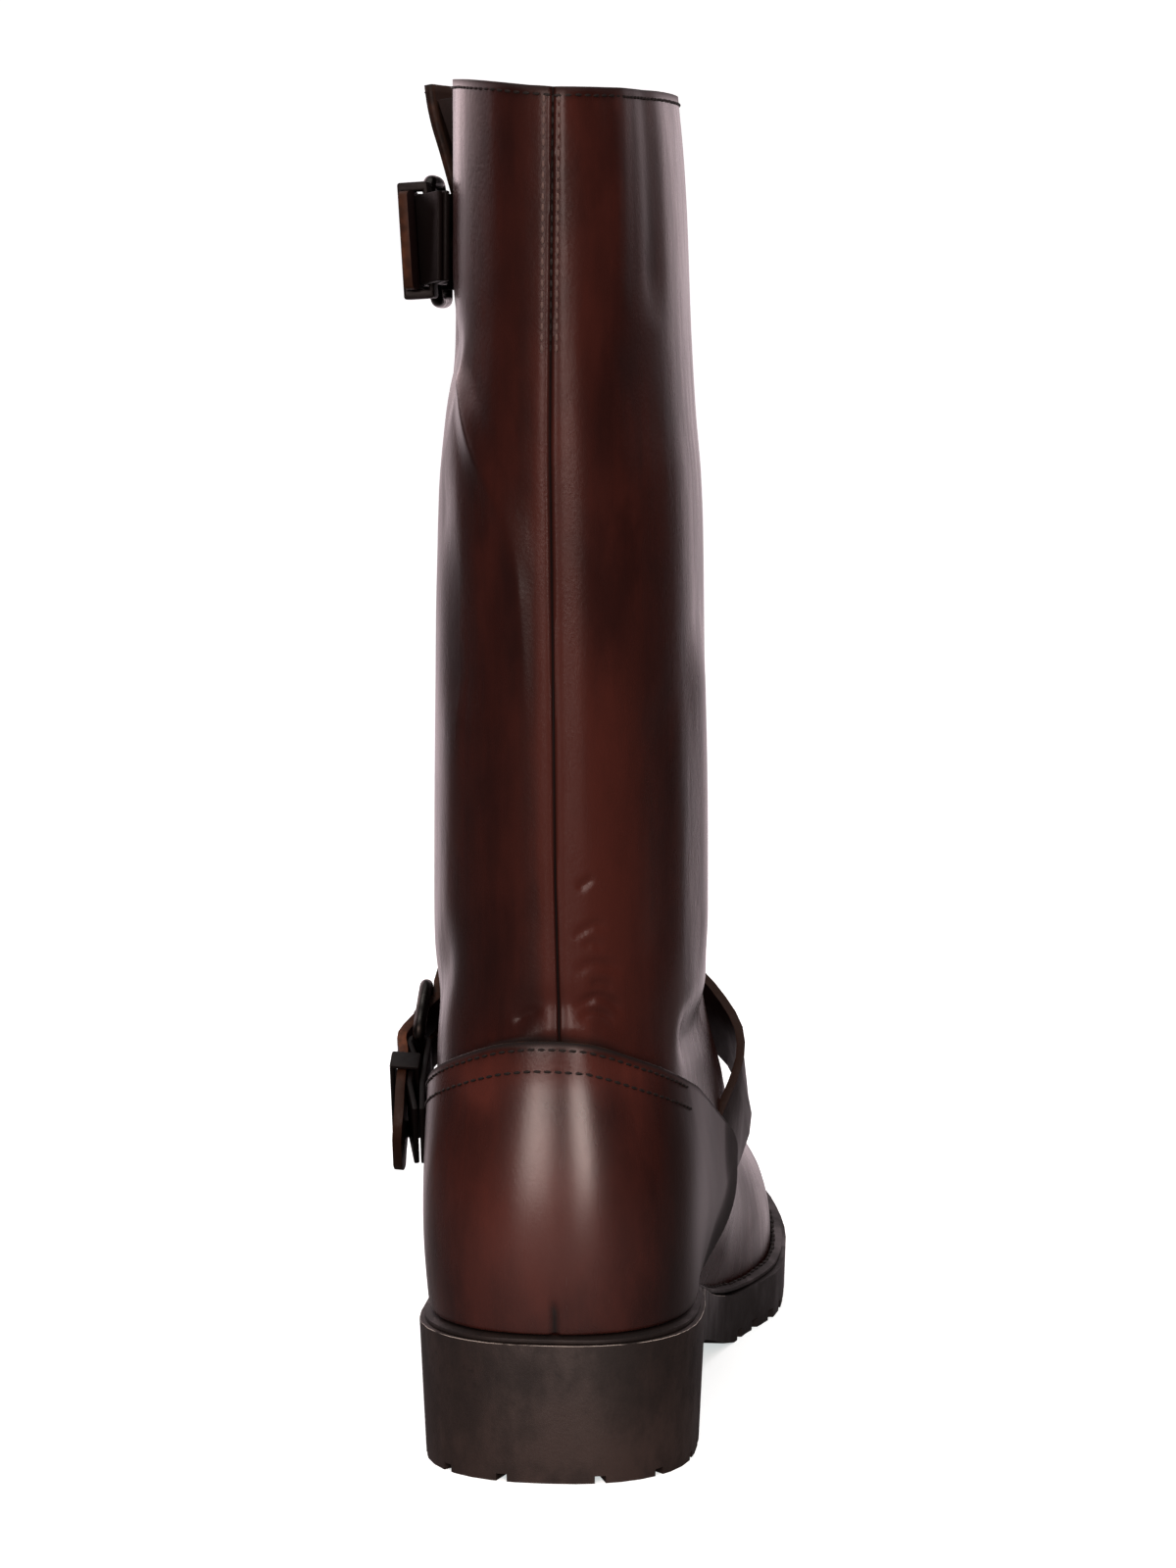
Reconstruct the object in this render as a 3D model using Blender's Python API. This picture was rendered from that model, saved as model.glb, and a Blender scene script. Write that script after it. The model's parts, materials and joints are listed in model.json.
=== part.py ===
"""Left calf boot with a buckled strap at the ankle and another at the collar.

Sizes are millimetres here and metres in the meshes. The toe points along +Y, the
inner side of the foot is +X, and the sole stands on Z = 0 with the origin under
the middle of the heel.
"""
import math
from bisect import bisect_right
from functools import lru_cache

import bmesh
import bpy
from mathutils import Vector

MM = 0.001

# Driving sizes of the last, the shaft and the leather
SOLE_LENGTH = 283.0
HEEL_OVERHANG = 41.5
BALL_WIDTH = 96.0
HEEL_HEIGHT = 35.5
INSTEP_HEIGHT = 111.0
COLLAR_LEVEL = 308.0
COLLAR_RISE = 5.0
OUTER_RISE = 3.6
OUTER_RISE_LEVEL = 279.0
WALL = 2.2
COUNTER_WALL = 1.7
WELT_WIDTH = 4.2
WELT_LIP = 0.9
WELT_RISE = 1.7
WELT_EDGE = 1.0
INSOLE_WALL = 2.6
STRAP_WALL = 2.4
CHAPE_WALL = 1.5
KEEPER_WALL = 1.3
WIRE_RADIUS = 1.5
SEAT = 0.3
OVERLAY_SEAT = 0.4
COUNTER_SEAT = 0.7

# Fineness of the meshes; the upper's columns lie closer together towards the back seam
SIDE_COLUMNS = 21
UPPER_COLUMNS = 2 * SIDE_COLUMNS
COLUMN_CROWDING = 1.25
SOLE_STATIONS = 40
COUNTER_ROWS = 7
WIRE_SIDES = 6

# Shares of the sole's length, ball width and heel height, read at a share of the length from
# the heel's back edge. The bulge columns say how far the upper swells past the welt's inner edge.
PLAN = (
    "along centre sole_inner sole_outer bulge_inner bulge_outer top",
    (0.000, 0.000, 0.370, 0.370, 0.010, 0.015, 1.000),
    (0.147, 0.000, 0.377, 0.377, 0.010, 0.016, 1.000),
    (0.253, -0.010, 0.362, 0.388, 0.030, 0.034, 0.944),
    (0.359, -0.024, 0.352, 0.412, 0.074, 0.034, 0.761),
    (0.465, -0.031, 0.366, 0.444, 0.098, 0.020, 0.521),
    (0.564, -0.026, 0.412, 0.490, 0.050, 0.010, 0.372),
    (0.677, -0.005, 0.479, 0.514, 0.014, 0.006, 0.366),
    (0.783, 0.016, 0.453, 0.464, 0.006, 0.006, 0.420),
    (0.889, 0.042, 0.396, 0.396, 0.006, 0.006, 0.560),
    (1.000, 0.073, 0.354, 0.354, 0.006, 0.006, 0.760),
)

# Underside of the sole in front of the heel breast, as shares of length and heel height
UNDERSIDE = (
    "along height",
    (0.270, 0.470),
    (0.359, 0.366),
    (0.465, 0.155),
    (0.542, 0.000),
    (0.790, 0.000),
    (0.871, 0.090),
    (1.000, 0.370),
)

# Ridge of the toe, vamp and shaft front: share of the instep height, share of the length
RIDGE = (
    "height along",
    (0.243, 0.983),
    (0.315, 0.989),
    (0.387, 0.975),
    (0.441, 0.945),
    (0.477, 0.896),
    (0.505, 0.836),
    (0.541, 0.765),
    (0.595, 0.694),
    (0.667, 0.634),
    (0.766, 0.578),
    (0.883, 0.532),
    (1.000, 0.500),
    (1.135, 0.484),
    (1.306, 0.479),
    (1.802, 0.479),
    (2.342, 0.482),
    (3.200, 0.489),
)

# Back line and half widths of the shaft at levels above the heel seat
SHAFT = (
    "level back outer inner",
    (0.0, -37.3, 36.0, 31.0),
    (14.0, -39.8, 36.5, 31.0),
    (26.0, -39.8, 37.0, 31.0),
    (45.0, -37.5, 37.0, 31.0),
    (65.0, -34.5, 36.3, 30.6),
    (80.0, -33.2, 36.5, 33.0),
    (115.0, -33.0, 36.4, 33.0),
    (165.0, -33.5, 35.8, 32.5),
    (205.0, -34.4, 35.0, 32.0),
    (230.0, -35.0, 32.6, 29.9),
    (250.0, -35.5, 30.8, 28.7),
    (285.0, -36.4, 30.5, 27.2),
    (312.0, -37.0, 30.5, 24.5),
)
SHAFT_CENTRE = 1.2
SHAFT_ROUND = 2.25
VAMP_ROUND = 2.3
TOE_ROUND_LENGTH = 58.0
TOE_ROUND = 2.4
HEEL_ROUND_LENGTH = 36.0
HEEL_ROUND = 2.4
BULGE_LEVEL = 24.0
DROP_LEVEL = 75.0
SHAFT_BLEND = (35.0, 88.0)
TOE_BULGE_LEVEL = 8.0

# Levels of the upper's mesh rows above the sole
LEVELS = (
    0.0, 4.0, 9.0, 14.0, 19.0, 23.5, 27.0, 30.0, 33.0, 37.0, 42.0, 48.0, 55.0, 63.0, 71.0, 79.0,
    88.0, 98.0, 110.0, 125.0, 142.0, 160.0, 180.0, 200.0, 214.0, 226.0, 238.0, 250.0, 264.0,
    279.0, 294.0, COLLAR_LEVEL,
)

# Slit at the outer side of the collar: columns beside it, how far they pull together, and the flap
SLIT_FRONT = 28
SLIT_REAR = 29
SLIT_LEVEL = 250.0
SLIT_PULL = (
    "level pull",
    (190.0, 0.0),
    (250.0, 0.0245),
    (COLLAR_LEVEL, -0.012),
)
FLAP_OUT = 15.0
FLAP_START = 236.0
FLAP_CURL = 2.4
GUSSET_WALL = 1.1
GUSSET_SEAT = 0.6
GUSSET_FOLD = 6.0
GUSSET_FOLDS = (0.25, 0.5, 0.75)
GUSSET_LAP = 0.7
GUSSET_TOP = 0.75

# Counter's lower and upper edge, read at a sweep from the back seam (0) to its nose (1)
COUNTER = (
    "sweep low high",
    (0.000, 2.5, 75.0),
    (0.080, 2.5, 74.7),
    (0.350, 2.5, 68.0),
    (0.600, 2.5, 59.0),
    (0.700, 2.5, 55.5),
    (0.765, 9.0, 52.5),
    (0.840, 19.5, 49.0),
    (0.913, 29.5, 44.5),
    (0.960, 33.0, 41.3),
    (1.000, 34.8, 38.5),
)
COUNTER_NOSE = 0.54
COUNTER_FINE = 0.29

# Heel and tread
HEEL_BREAST = 34.0
HEEL_TAPER = 0.045
EDGE_TAPER = 0.012
NOTCH_WIDTH = 2.8
NOTCH_HEIGHT = 1.9
NOTCH_DEPTH = 9.0
NOTCH_ANGLES = (-92.0, -66.0, -40.0, -16.0, 20.0, 44.0, 70.0, 94.0)
LUG_START = 116.0
LUG_PITCH = 12.5
LUG_COUNT = 9
GROOVE_WIDTH = 4.0
GROOVE_HEIGHT = 2.8
GROOVE_STEP = 0.3
CUT_PAST = 6.0
CHANNEL_PLACE = 17.0
CHANNEL_WIDTH = 3.6

# Buckled straps. Run is measured along the strap past the middle of its buckle, out from the boot.
STRAP_WIDTH = 25.0
CHAPE_WIDTH = 23.0
BUCKLE_REACH = 9.5
BUCKLE_SLACK = 1.6
BUCKLE_CORNER = 3.5
BUCKLE_CORNER_STEPS = 4
KEEPER_RUN = 18.5
KEEPER_BAND = 8.0
KEEPER_CLEAR = 5.0
KEEPER_SLACK = 0.6
TAIL_DIP = 1.5
FOLD_STEPS = 6
HOLE_WIDTH = 3.4
HOLE_REACH = 5.0
HOLE_DEPTH = 12.0
PRONG_RADIUS = 1.1
PRONG_TIP = 2.5
STRAP_STEPS = 3

# Strap through its buckle: run, and share of the way from under the front bar to over the chape
THREADED = (
    "run share",
    (-13.0, 0.00),
    (-7.5, 0.02),
    (0.0, 0.50),
    (7.5, 0.98),
    (13.0, 0.86),
)

# Ankle strap up to its buckle: around the upper, level, and how far it stands off
ANKLE_LEAD = (
    "around level stand",
    (0.568, 40.0, 1.9),
    (0.640, 46.0, 4.0),
    (0.720, 54.0, 5.5),
    (0.800, 62.0, 4.5),
    (0.880, 68.0, 3.4),
    (0.950, 71.5, 3.5),
    (1.000, 72.5, 3.6),
    (1.050, 72.3, 3.5),
    (1.120, 71.3, 3.4),
    (1.200, 69.8, 3.8),
    (1.280, 67.5, 4.8),
)

# Collar strap up to its buckle
COLLAR_LEAD = (
    "around level stand",
    (1.130, 272.8, 1.8),
    (1.180, 272.8, 1.8),
    (1.230, 272.8, 1.8),
    (1.290, 272.8, 2.0),
)

# Strap ends past the buckle: run, lift and width share, rounded at the ankle and square at the collar
ANKLE_TAIL = (
    "run lift share",
    (KEEPER_RUN, -TAIL_DIP, 1.00),
    (27.0, -1.9, 1.00),
    (33.0, -2.4, 0.93),
    (37.0, -2.4, 0.72),
    (39.0, -2.3, 0.40),
)
COLLAR_TAIL = (
    "run lift share",
    (KEEPER_RUN, -TAIL_DIP, 1.00),
    (23.5, -1.6, 1.00),
    (27.0, -1.0, 1.00),
    (28.2, -0.7, 0.92),
)

# Sewn ends of the chapes: level, place along the foot, and stand-off from the upper
ANKLE_CHAPE_END = (39.0, 27.0, 3.9)
COLLAR_CHAPE_END = (273.3, 11.0, 1.4)


def columns(table):
    """Named columns of a table, in order."""
    names = table[0].split()
    rows = table[1:]
    return {name: [row[i] for row in rows] for i, name in enumerate(names)}


def slope(places, values, i):
    """Slope at a row that lets a smooth curve pass through it with no overshoot."""
    last = len(places) - 1
    if i == 0 or i == last:
        a = max(i - 1, 0)
        return (values[a + 1] - values[a]) / (places[a + 1] - places[a])
    before = (values[i] - values[i - 1]) / (places[i] - places[i - 1])
    after = (values[i + 1] - values[i]) / (places[i + 1] - places[i])
    if before * after <= 0.0:
        return 0.0
    return 2.0 * before * after / (before + after)


def read(table, name, place):
    """Smooth value of a named column at a place along the table's first column."""
    named = COLUMNS[id(table)]
    places = next(iter(named.values()))
    values = named[name]
    if place <= places[0]:
        return values[0]
    if place >= places[-1]:
        return values[-1]
    i = bisect_right(places, place) - 1
    step = places[i + 1] - places[i]
    t = (place - places[i]) / step
    start = slope(places, values, i) * step
    end = slope(places, values, i + 1) * step
    rise = values[i + 1] - values[i]
    return values[i] + t * (start + t * (3 * rise - 2 * start - end + t * (start + end - 2 * rise)))


TABLES = (PLAN, UNDERSIDE, RIDGE, SHAFT, SLIT_PULL, COUNTER)
COLUMNS = {id(table): columns(table) for table in TABLES}


def ramp(value, low, high):
    """Smooth step from 0 at low to 1 at high."""
    t = min(max((value - low) / (high - low), 0.0), 1.0)
    return t * t * (3.0 - 2.0 * t)


def mix(a, b, t):
    return a + (b - a) * t


def bow(t, power):
    """Rounded end: 1 at t = 0, falling to 0 at t = 1."""
    return max(1.0 - min(max(t, 0.0), 1.0) ** power, 0.0) ** (1.0 / power)


def along(y):
    """Share of the sole's length at y."""
    return (y + HEEL_OVERHANG) / SOLE_LENGTH


def sole_top(y):
    return read(PLAN, "top", along(y)) * HEEL_HEIGHT


def sole_under(y):
    return read(UNDERSIDE, "height", along(y)) * HEEL_HEIGHT


def centre(y):
    """Middle of the foot, which curves to the inner side at the toe."""
    return read(PLAN, "centre", along(y)) * BALL_WIDTH


def sole_half(y, side):
    """Half width of the sole from its middle line."""
    half = read(PLAN, "sole_inner" if side > 0 else "sole_outer", along(y)) * BALL_WIDTH
    heel = bow((HEEL_ROUND_LENGTH - HEEL_OVERHANG - y) / HEEL_ROUND_LENGTH, HEEL_ROUND)
    toe_end = SOLE_LENGTH - HEEL_OVERHANG
    toe = bow((y - toe_end + TOE_ROUND_LENGTH) / TOE_ROUND_LENGTH, TOE_ROUND)
    return half * heel * toe


def height(level, y):
    """Height of a level of the upper: it follows the sole below and is even on the shaft."""
    follow = 1.0 - ramp(level, 0.0, DROP_LEVEL)
    rise = COLLAR_RISE * ramp(level, SLIT_LEVEL, COLLAR_LEVEL)
    forward = (y + HEEL_OVERHANG) / (HEEL_OVERHANG + read(RIDGE, "along", 3.2) * SOLE_LENGTH)
    return level + mix(HEEL_HEIGHT, sole_top(y), follow) + SEAT + rise * forward


def ridge(z):
    """How far forward the upper reaches at a height."""
    return read(RIDGE, "along", z / INSTEP_HEIGHT) * SOLE_LENGTH - HEEL_OVERHANG


@lru_cache(maxsize=None)
def row_ends(level):
    """Back and front of the upper at a level."""
    back = read(SHAFT, "back", level)
    low, high = back, SOLE_LENGTH
    for _ in range(40):
        middle = 0.5 * (low + high)
        if ridge(height(level, middle)) > middle:
            low = middle
        else:
            high = middle
    return back, low


@lru_cache(maxsize=None)
def ridge_levels():
    """Front of the upper at every level from the toe bulge up to the shaft, falling."""
    levels = [TOE_BULGE_LEVEL + 0.5 * i for i in range(190)]
    pairs = [(row_ends(level)[1], level) for level in levels]
    falling = [pairs[0]]
    for front, level in pairs[1:]:
        if front < falling[-1][0] - 0.01:
            falling.append((front, level))
    return falling[::-1]


def ridge_level(y):
    """Level of the ridge over a place along the foot, rising freely under the shaft."""
    pairs = ridge_levels()
    if y <= pairs[0][0]:
        return pairs[0][1] + (pairs[0][0] - y) * 6.0
    if y >= pairs[-1][0]:
        return pairs[-1][1]
    i = bisect_right(pairs, (y, 0.0)) - 1
    (y0, l0), (y1, l1) = pairs[i], pairs[i + 1]
    return mix(l0, l1, (y - y0) / (y1 - y0))


def foot_half(y, level, side):
    """Half width of the foot part of the upper from its middle line."""
    back, front = row_ends(level)
    inner = side > 0
    half = read(PLAN, "sole_inner" if inner else "sole_outer", along(y)) * BALL_WIDTH - WELT_WIDTH
    swell = read(PLAN, "bulge_inner" if inner else "bulge_outer", along(y)) * BALL_WIDTH
    half += swell * ramp(level, 0.0, BULGE_LEVEL)
    toe_end = front if level < TOE_BULGE_LEVEL else row_ends(TOE_BULGE_LEVEL)[1]
    half *= bow((HEEL_ROUND_LENGTH + back - y) / HEEL_ROUND_LENGTH, HEEL_ROUND)
    half *= bow((y - toe_end + TOE_ROUND_LENGTH) / TOE_ROUND_LENGTH, TOE_ROUND)
    return half * bow(level / ridge_level(y), VAMP_ROUND)


def column_around(column):
    """Around value of one of the upper's mesh columns."""
    if column <= SIDE_COLUMNS:
        return (column / SIDE_COLUMNS) ** COLUMN_CROWDING
    return 2.0 - ((UPPER_COLUMNS - column) / SIDE_COLUMNS) ** COLUMN_CROWDING


def flap_flare(level, around):
    """How far the flap in front of the slit stands out from the shaft."""
    rise = min(max((level - FLAP_START) / (COLLAR_LEVEL - FLAP_START), 0.0), 1.0)
    rear = column_around(SLIT_REAR)
    front = column_around(SLIT_FRONT)
    if around >= rear or around <= 1.0:
        return 0.0
    if around >= front:
        return FLAP_OUT * rise ** FLAP_CURL * (rear - around) / (rear - front)
    return FLAP_OUT * rise ** FLAP_CURL * (1.0 - ramp(front - around, 0.0, front - 1.0))


def outer_rise(level, around):
    """How far the collar climbs on the outer side, between its back and its front."""
    if around % 2.0 <= 1.0:
        return 0.0
    return OUTER_RISE * ramp(level, OUTER_RISE_LEVEL, COLLAR_LEVEL) * math.sin(math.pi * (around % 1.0))


def upper_base(level, around):
    """Outside of the upper. Around is 0 at the back, 1 at the front, 1 to 2 on the outer side."""
    around = around % 2.0
    side = 1.0 if around <= 1.0 else -1.0
    share = around if side > 0 else 2.0 - around
    back, front = row_ends(level)
    depth = 0.5 - 0.5 * math.cos(math.pi * share)
    y = mix(back, front, depth)
    foot_x = centre(y) + side * foot_half(y, level, side)
    half = read(SHAFT, "inner" if side > 0 else "outer", level) - side * SHAFT_CENTRE
    shaft_x = SHAFT_CENTRE + side * half * bow(abs(2.0 * depth - 1.0), SHAFT_ROUND)
    x = mix(foot_x, shaft_x, ramp(level, *SHAFT_BLEND)) - flap_flare(level, around)
    return Vector((x, y, height(level, y) + outer_rise(level, around)))


def upper_normal(level, around):
    """Direction out of the upper's wall."""
    step = 0.004
    over = upper_base(level, around + step) - upper_base(level, around - step)
    rise = upper_base(level + 1.0, around) - upper_base(max(level - 1.0, 0.0), around)
    return over.cross(rise).normalized()


def upper_point(level, around, offset):
    """Point at an offset from the outside of the upper; negative offsets lie inside."""
    return upper_base(level, around) + offset * upper_normal(level, around)


@lru_cache(maxsize=None)
def mesh_corner(row, column):
    """Corner of the upper's outer mesh."""
    return upper_base(LEVELS[row], column_around(column % UPPER_COLUMNS))


def facet_point(level, around, offset):
    """Point at an offset from the flat facets of the upper's outer mesh, for pieces laid on it."""
    row = min(bisect_right(LEVELS, level), len(LEVELS) - 1) - 1
    column = 0
    while column < UPPER_COLUMNS - 1 and column_around(column + 1) <= around % 2.0:
        column += 1
    start = column_around(column)
    end = column_around(column + 1) if column + 1 < UPPER_COLUMNS else 2.0
    across = (around % 2.0 - start) / (end - start)
    up = (level - LEVELS[row]) / (LEVELS[row + 1] - LEVELS[row])
    low = mesh_corner(row, column).lerp(mesh_corner(row, column + 1), across)
    high = mesh_corner(row + 1, column).lerp(mesh_corner(row + 1, column + 1), across)
    return low.lerp(high, up) + offset * upper_normal(level, around)


def around_at(level, y, side):
    """Around value of the place on a level that lies at y."""
    back, front = row_ends(level)
    depth = min(max((y - back) / (front - back), 0.0), 1.0)
    share = math.acos(1.0 - 2.0 * depth) / math.pi
    return share if side > 0 else 2.0 - share


def finish(name, colour, roughness, metallic):
    """Principled material of one piece."""
    material = bpy.data.materials.new(name)
    material.use_nodes = True
    shader = material.node_tree.nodes["Principled BSDF"]
    shader.inputs["Base Color"].default_value = (*colour, 1.0)
    shader.inputs["Roughness"].default_value = roughness
    shader.inputs["Metallic"].default_value = metallic
    return material


def solid(name, polygons, material, smooth=True):
    """Object from polygons given by their corners; corners at one place are shared."""
    bm = bmesh.new()
    known = {}

    def corner(point):
        key = tuple(round(value, 3) for value in point)
        if key not in known:
            known[key] = bm.verts.new(Vector(point) * MM)
        return known[key]

    for polygon in polygons:
        loop = []
        for point in polygon:
            vertex = corner(point)
            if vertex not in loop:
                loop.append(vertex)
        if len(loop) > 2:
            bm.faces.new(loop)
    bmesh.ops.recalc_face_normals(bm, faces=bm.faces)
    mesh = bpy.data.meshes.new(name)
    bm.to_mesh(mesh)
    bm.free()
    if smooth:
        mesh.shade_smooth()
        mesh.set_sharp_from_angle(angle=math.radians(40.0))
    piece = bpy.data.objects.new(name, mesh)
    piece.data.materials.append(material)
    bpy.context.collection.objects.link(piece)
    return piece


def sheet_faces(rows, count, wrap=False, skip=()):
    """Index quads of a grid with rows of count points."""
    faces = []
    for r in range(rows - 1):
        for c in range(count if wrap else count - 1):
            if (r, c) not in skip:
                n = (c + 1) % count
                faces.append((r * count + c, r * count + n, (r + 1) * count + n, (r + 1) * count + c))
    return faces


def walled(outer, inner, faces):
    """Polygons of a closed wall between an outer and an inner sheet."""
    polygons = [[outer[i] for i in face] for face in faces]
    polygons += [[inner[i] for i in reversed(face)] for face in faces]
    edges = {(face[i], face[(i + 1) % 4]) for face in faces for i in range(4)}
    for a, b in edges:
        if (b, a) not in edges:
            polygons.append([outer[a], inner[a], inner[b], outer[b]])
    return polygons


def tube(sections, closed=False):
    """Polygons of a loft through closed sections with the same number of corners."""
    polygons = []
    count = len(sections)
    size = len(sections[0])
    for i in range(count if closed else count - 1):
        here, there = sections[i], sections[(i + 1) % count]
        for c in range(size):
            n = (c + 1) % size
            polygons.append([here[c], here[n], there[n], there[c]])
    if not closed:
        polygons += [list(sections[0]), list(reversed(sections[-1]))]
    return polygons


def box(low, high):
    """Polygons of a box between two corners."""
    sections = []
    corners = ((low[0], low[1]), (high[0], low[1]), (high[0], high[1]), (low[0], high[1]))
    for z in (low[2], high[2]):
        sections.append([(x, y, z) for x, y in corners])
    return tube(sections)


def turned(polygons, angle):
    """Polygons turned about Z."""
    c, s = math.cos(angle), math.sin(angle)

    def placed(x, y, z):
        return c * x - s * y, s * x + c * y, z

    return [[placed(*corner) for corner in polygon] for polygon in polygons]


def cut(piece, name, polygons):
    """Boolean cut of a piece by a hidden cutter."""
    cutter = solid(name, polygons, piece.data.materials[0], smooth=False)
    cutter.hide_render = True
    cutter.display_type = "WIRE"
    modifier = piece.modifiers.new(name, "BOOLEAN")
    modifier.operation = "DIFFERENCE"
    modifier.solver = "EXACT"
    modifier.object = cutter


def sole_section(y, under, taper):
    """Four corners of the sole at y."""
    half_in, half_out = sole_half(y, 1.0), sole_half(y, -1.0)
    top, middle = sole_top(y), centre(y)
    low_y = y * (1.0 - taper) if y < HEEL_BREAST + 1.0 else y
    keep = 1.0 - taper
    return [
        (middle + half_in, y, top),
        (middle - half_out, y, top),
        (middle - half_out * keep, low_y, under),
        (middle + half_in * keep, low_y, under),
    ]


def build_sole(material):
    """Rubber unit: heel block, waist, forefoot and toe spring, with grooves between the lugs."""
    heel, front = [], []
    for i in range(SOLE_STATIONS + 1):
        share = 0.5 - 0.5 * math.cos(math.pi * i / SOLE_STATIONS)
        y = share * SOLE_LENGTH - HEEL_OVERHANG
        if y < HEEL_BREAST - 2.0:
            heel.append(sole_section(y, 0.0, HEEL_TAPER))
        elif y > HEEL_BREAST + 4.0:
            front.append(sole_section(y, sole_under(y), EDGE_TAPER))
    heel.append(sole_section(HEEL_BREAST, 0.0, HEEL_TAPER))
    front.insert(0, sole_section(HEEL_BREAST + 1.5, sole_under(HEEL_BREAST + 1.5), EDGE_TAPER))
    piece = solid("sole", tube(heel + front), material)
    cut(piece, "edge_groove_cutter", heel_notches() + edge_grooves())
    cut(piece, "channel_cutter", channels())
    cut(piece, "centre_groove_cutter", centre_grooves())
    return piece


def heel_notches():
    """Cutters for the notches round the heel's lower edge."""
    polygons = []
    for degrees in NOTCH_ANGLES:
        angle = math.radians(degrees - 90.0)
        reach = 0.0
        while abs(reach * math.cos(angle)) < sole_half(reach * math.sin(angle), 1.0) and reach < 80.0:
            reach += 0.25
        low = (reach - NOTCH_DEPTH, -NOTCH_WIDTH / 2, -CUT_PAST)
        high = (reach + CUT_PAST, NOTCH_WIDTH / 2, NOTCH_HEIGHT)
        polygons += turned(box(low, high), angle)
    return polygons


def edge_grooves():
    """Cutters for the gaps between the lugs along both edges of the forefoot."""
    polygons = []
    for i in range(LUG_COUNT):
        y = LUG_START + LUG_PITCH * i
        for side in (-1.0, 1.0):
            near = centre(y) + side * CHANNEL_PLACE
            far = centre(y) + side * (sole_half(y, side) + CUT_PAST)
            low = (min(near, far), y - GROOVE_WIDTH / 2, -CUT_PAST)
            high = (max(near, far), y + GROOVE_WIDTH / 2, sole_under(y) + GROOVE_HEIGHT)
            polygons += box(low, high)
    return polygons


def channels():
    """Cutters for the two long channels that part the edge lugs from the middle row."""
    polygons = []
    ends = LUG_START - 0.4 * LUG_PITCH, LUG_START + (LUG_COUNT - 0.6) * LUG_PITCH
    for side in (-1.0, 1.0):
        sections = []
        for i in range(LUG_COUNT + 1):
            y = mix(*ends, i / LUG_COUNT)
            a = centre(y) + side * (CHANNEL_PLACE - CHANNEL_WIDTH / 2)
            b = centre(y) + side * (CHANNEL_PLACE + CHANNEL_WIDTH / 2)
            top = sole_under(y) + GROOVE_HEIGHT - GROOVE_STEP
            sections.append([(a, y, -CUT_PAST), (b, y, -CUT_PAST), (b, y, top), (a, y, top)])
        polygons += tube(sections)
    return polygons


def centre_grooves():
    """Cutters that split the middle row into lugs, between the edge grooves."""
    polygons = []
    for i in range(LUG_COUNT - 1):
        y = LUG_START + LUG_PITCH * (i + 0.5)
        top = sole_under(y) + GROOVE_HEIGHT - 2.0 * GROOVE_STEP
        low = (centre(y) - CHANNEL_PLACE, y - GROOVE_WIDTH / 2, -CUT_PAST)
        high = (centre(y) + CHANNEL_PLACE, y + GROOVE_WIDTH / 2, top)
        polygons += box(low, high)
    return polygons


def column_place(column, level):
    """Around value of a mesh column, drawn together at the foot of the slit."""
    place = column_around(column)
    pull = read(SLIT_PULL, "pull", level)
    if column == SLIT_FRONT:
        return place + pull
    if column == SLIT_REAR:
        return place - pull
    return place


def build_upper(material):
    """Vamp and shaft: one wall, open at the collar, underneath and at the slit."""
    outer, inner = [], []
    for level in LEVELS:
        for column in range(UPPER_COLUMNS):
            place = column_place(column, level)
            face = upper_base(level, place)
            back = upper_point(level, place, -WALL)
            if level in (LEVELS[0], LEVELS[-1]):
                back.z = height(level, back.y) + outer_rise(level, place)
            outer.append(face)
            inner.append(back)
    slit = {(row, SLIT_FRONT) for row, level in enumerate(LEVELS[:-1]) if level >= SLIT_LEVEL}
    faces = sheet_faces(len(LEVELS), UPPER_COLUMNS, wrap=True, skip=slit)
    return solid("upper", walled(outer, inner, faces), material)


def lining_point(row, column, up):
    """Point on the inner mesh of the upper, part of the way up from a row to the next."""
    low, high = LEVELS[row], LEVELS[row + 1]
    start = upper_point(low, column_place(column, low), -WALL)
    end = upper_point(high, column_place(column, high), -WALL)
    return start.lerp(end, up)


def build_gusset(material):
    """Folded leather behind the slit, lapped inside both of its edges."""
    first = LEVELS.index(SLIT_LEVEL) - 1
    last = len(LEVELS) - 2
    places = [(row, 0.0) for row in range(first, last + 1)] + [(last, GUSSET_TOP)]
    outer, inner = [], []
    for row, up in places:
        level = mix(LEVELS[row], LEVELS[row + 1], up)
        rear, front = lining_point(row, SLIT_REAR, up), lining_point(row, SLIT_FRONT, up)
        rear_lap = rear.lerp(lining_point(row, SLIT_REAR + 1, up), GUSSET_LAP)
        front_lap = front.lerp(lining_point(row, SLIT_FRONT - 1, up), GUSSET_LAP)
        inward = -upper_normal(level, 0.5 * (column_around(SLIT_REAR) + column_around(SLIT_FRONT)))
        fold = GUSSET_FOLD * ramp(level, SLIT_LEVEL, COLLAR_LEVEL)
        line = [(rear_lap, 0.0), (rear, 0.0)]
        for t in GUSSET_FOLDS:
            line.append((rear.lerp(front, t), fold * math.sin(math.pi * t)))
        line += [(front, 0.0), (front_lap, 0.0)]
        for point, depth in line:
            outer.append(point + inward * (depth + GUSSET_SEAT))
            inner.append(point + inward * (depth + GUSSET_SEAT + GUSSET_WALL))
    faces = sheet_faces(len(places), len(GUSSET_FOLDS) + 4)
    return solid("gusset", walled(outer, inner, faces), material)


def counter_shares():
    """Columns of the counter on one side: the upper's own, with more towards the nose."""
    shares = []
    for column in range(SIDE_COLUMNS):
        here, there = column_around(column), column_around(column + 1)
        shares.append(here)
        if here > COUNTER_FINE:
            shares.append(0.5 * (here + there))
    return [share for share in shares if share < COUNTER_NOSE] + [COUNTER_NOSE]


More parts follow.
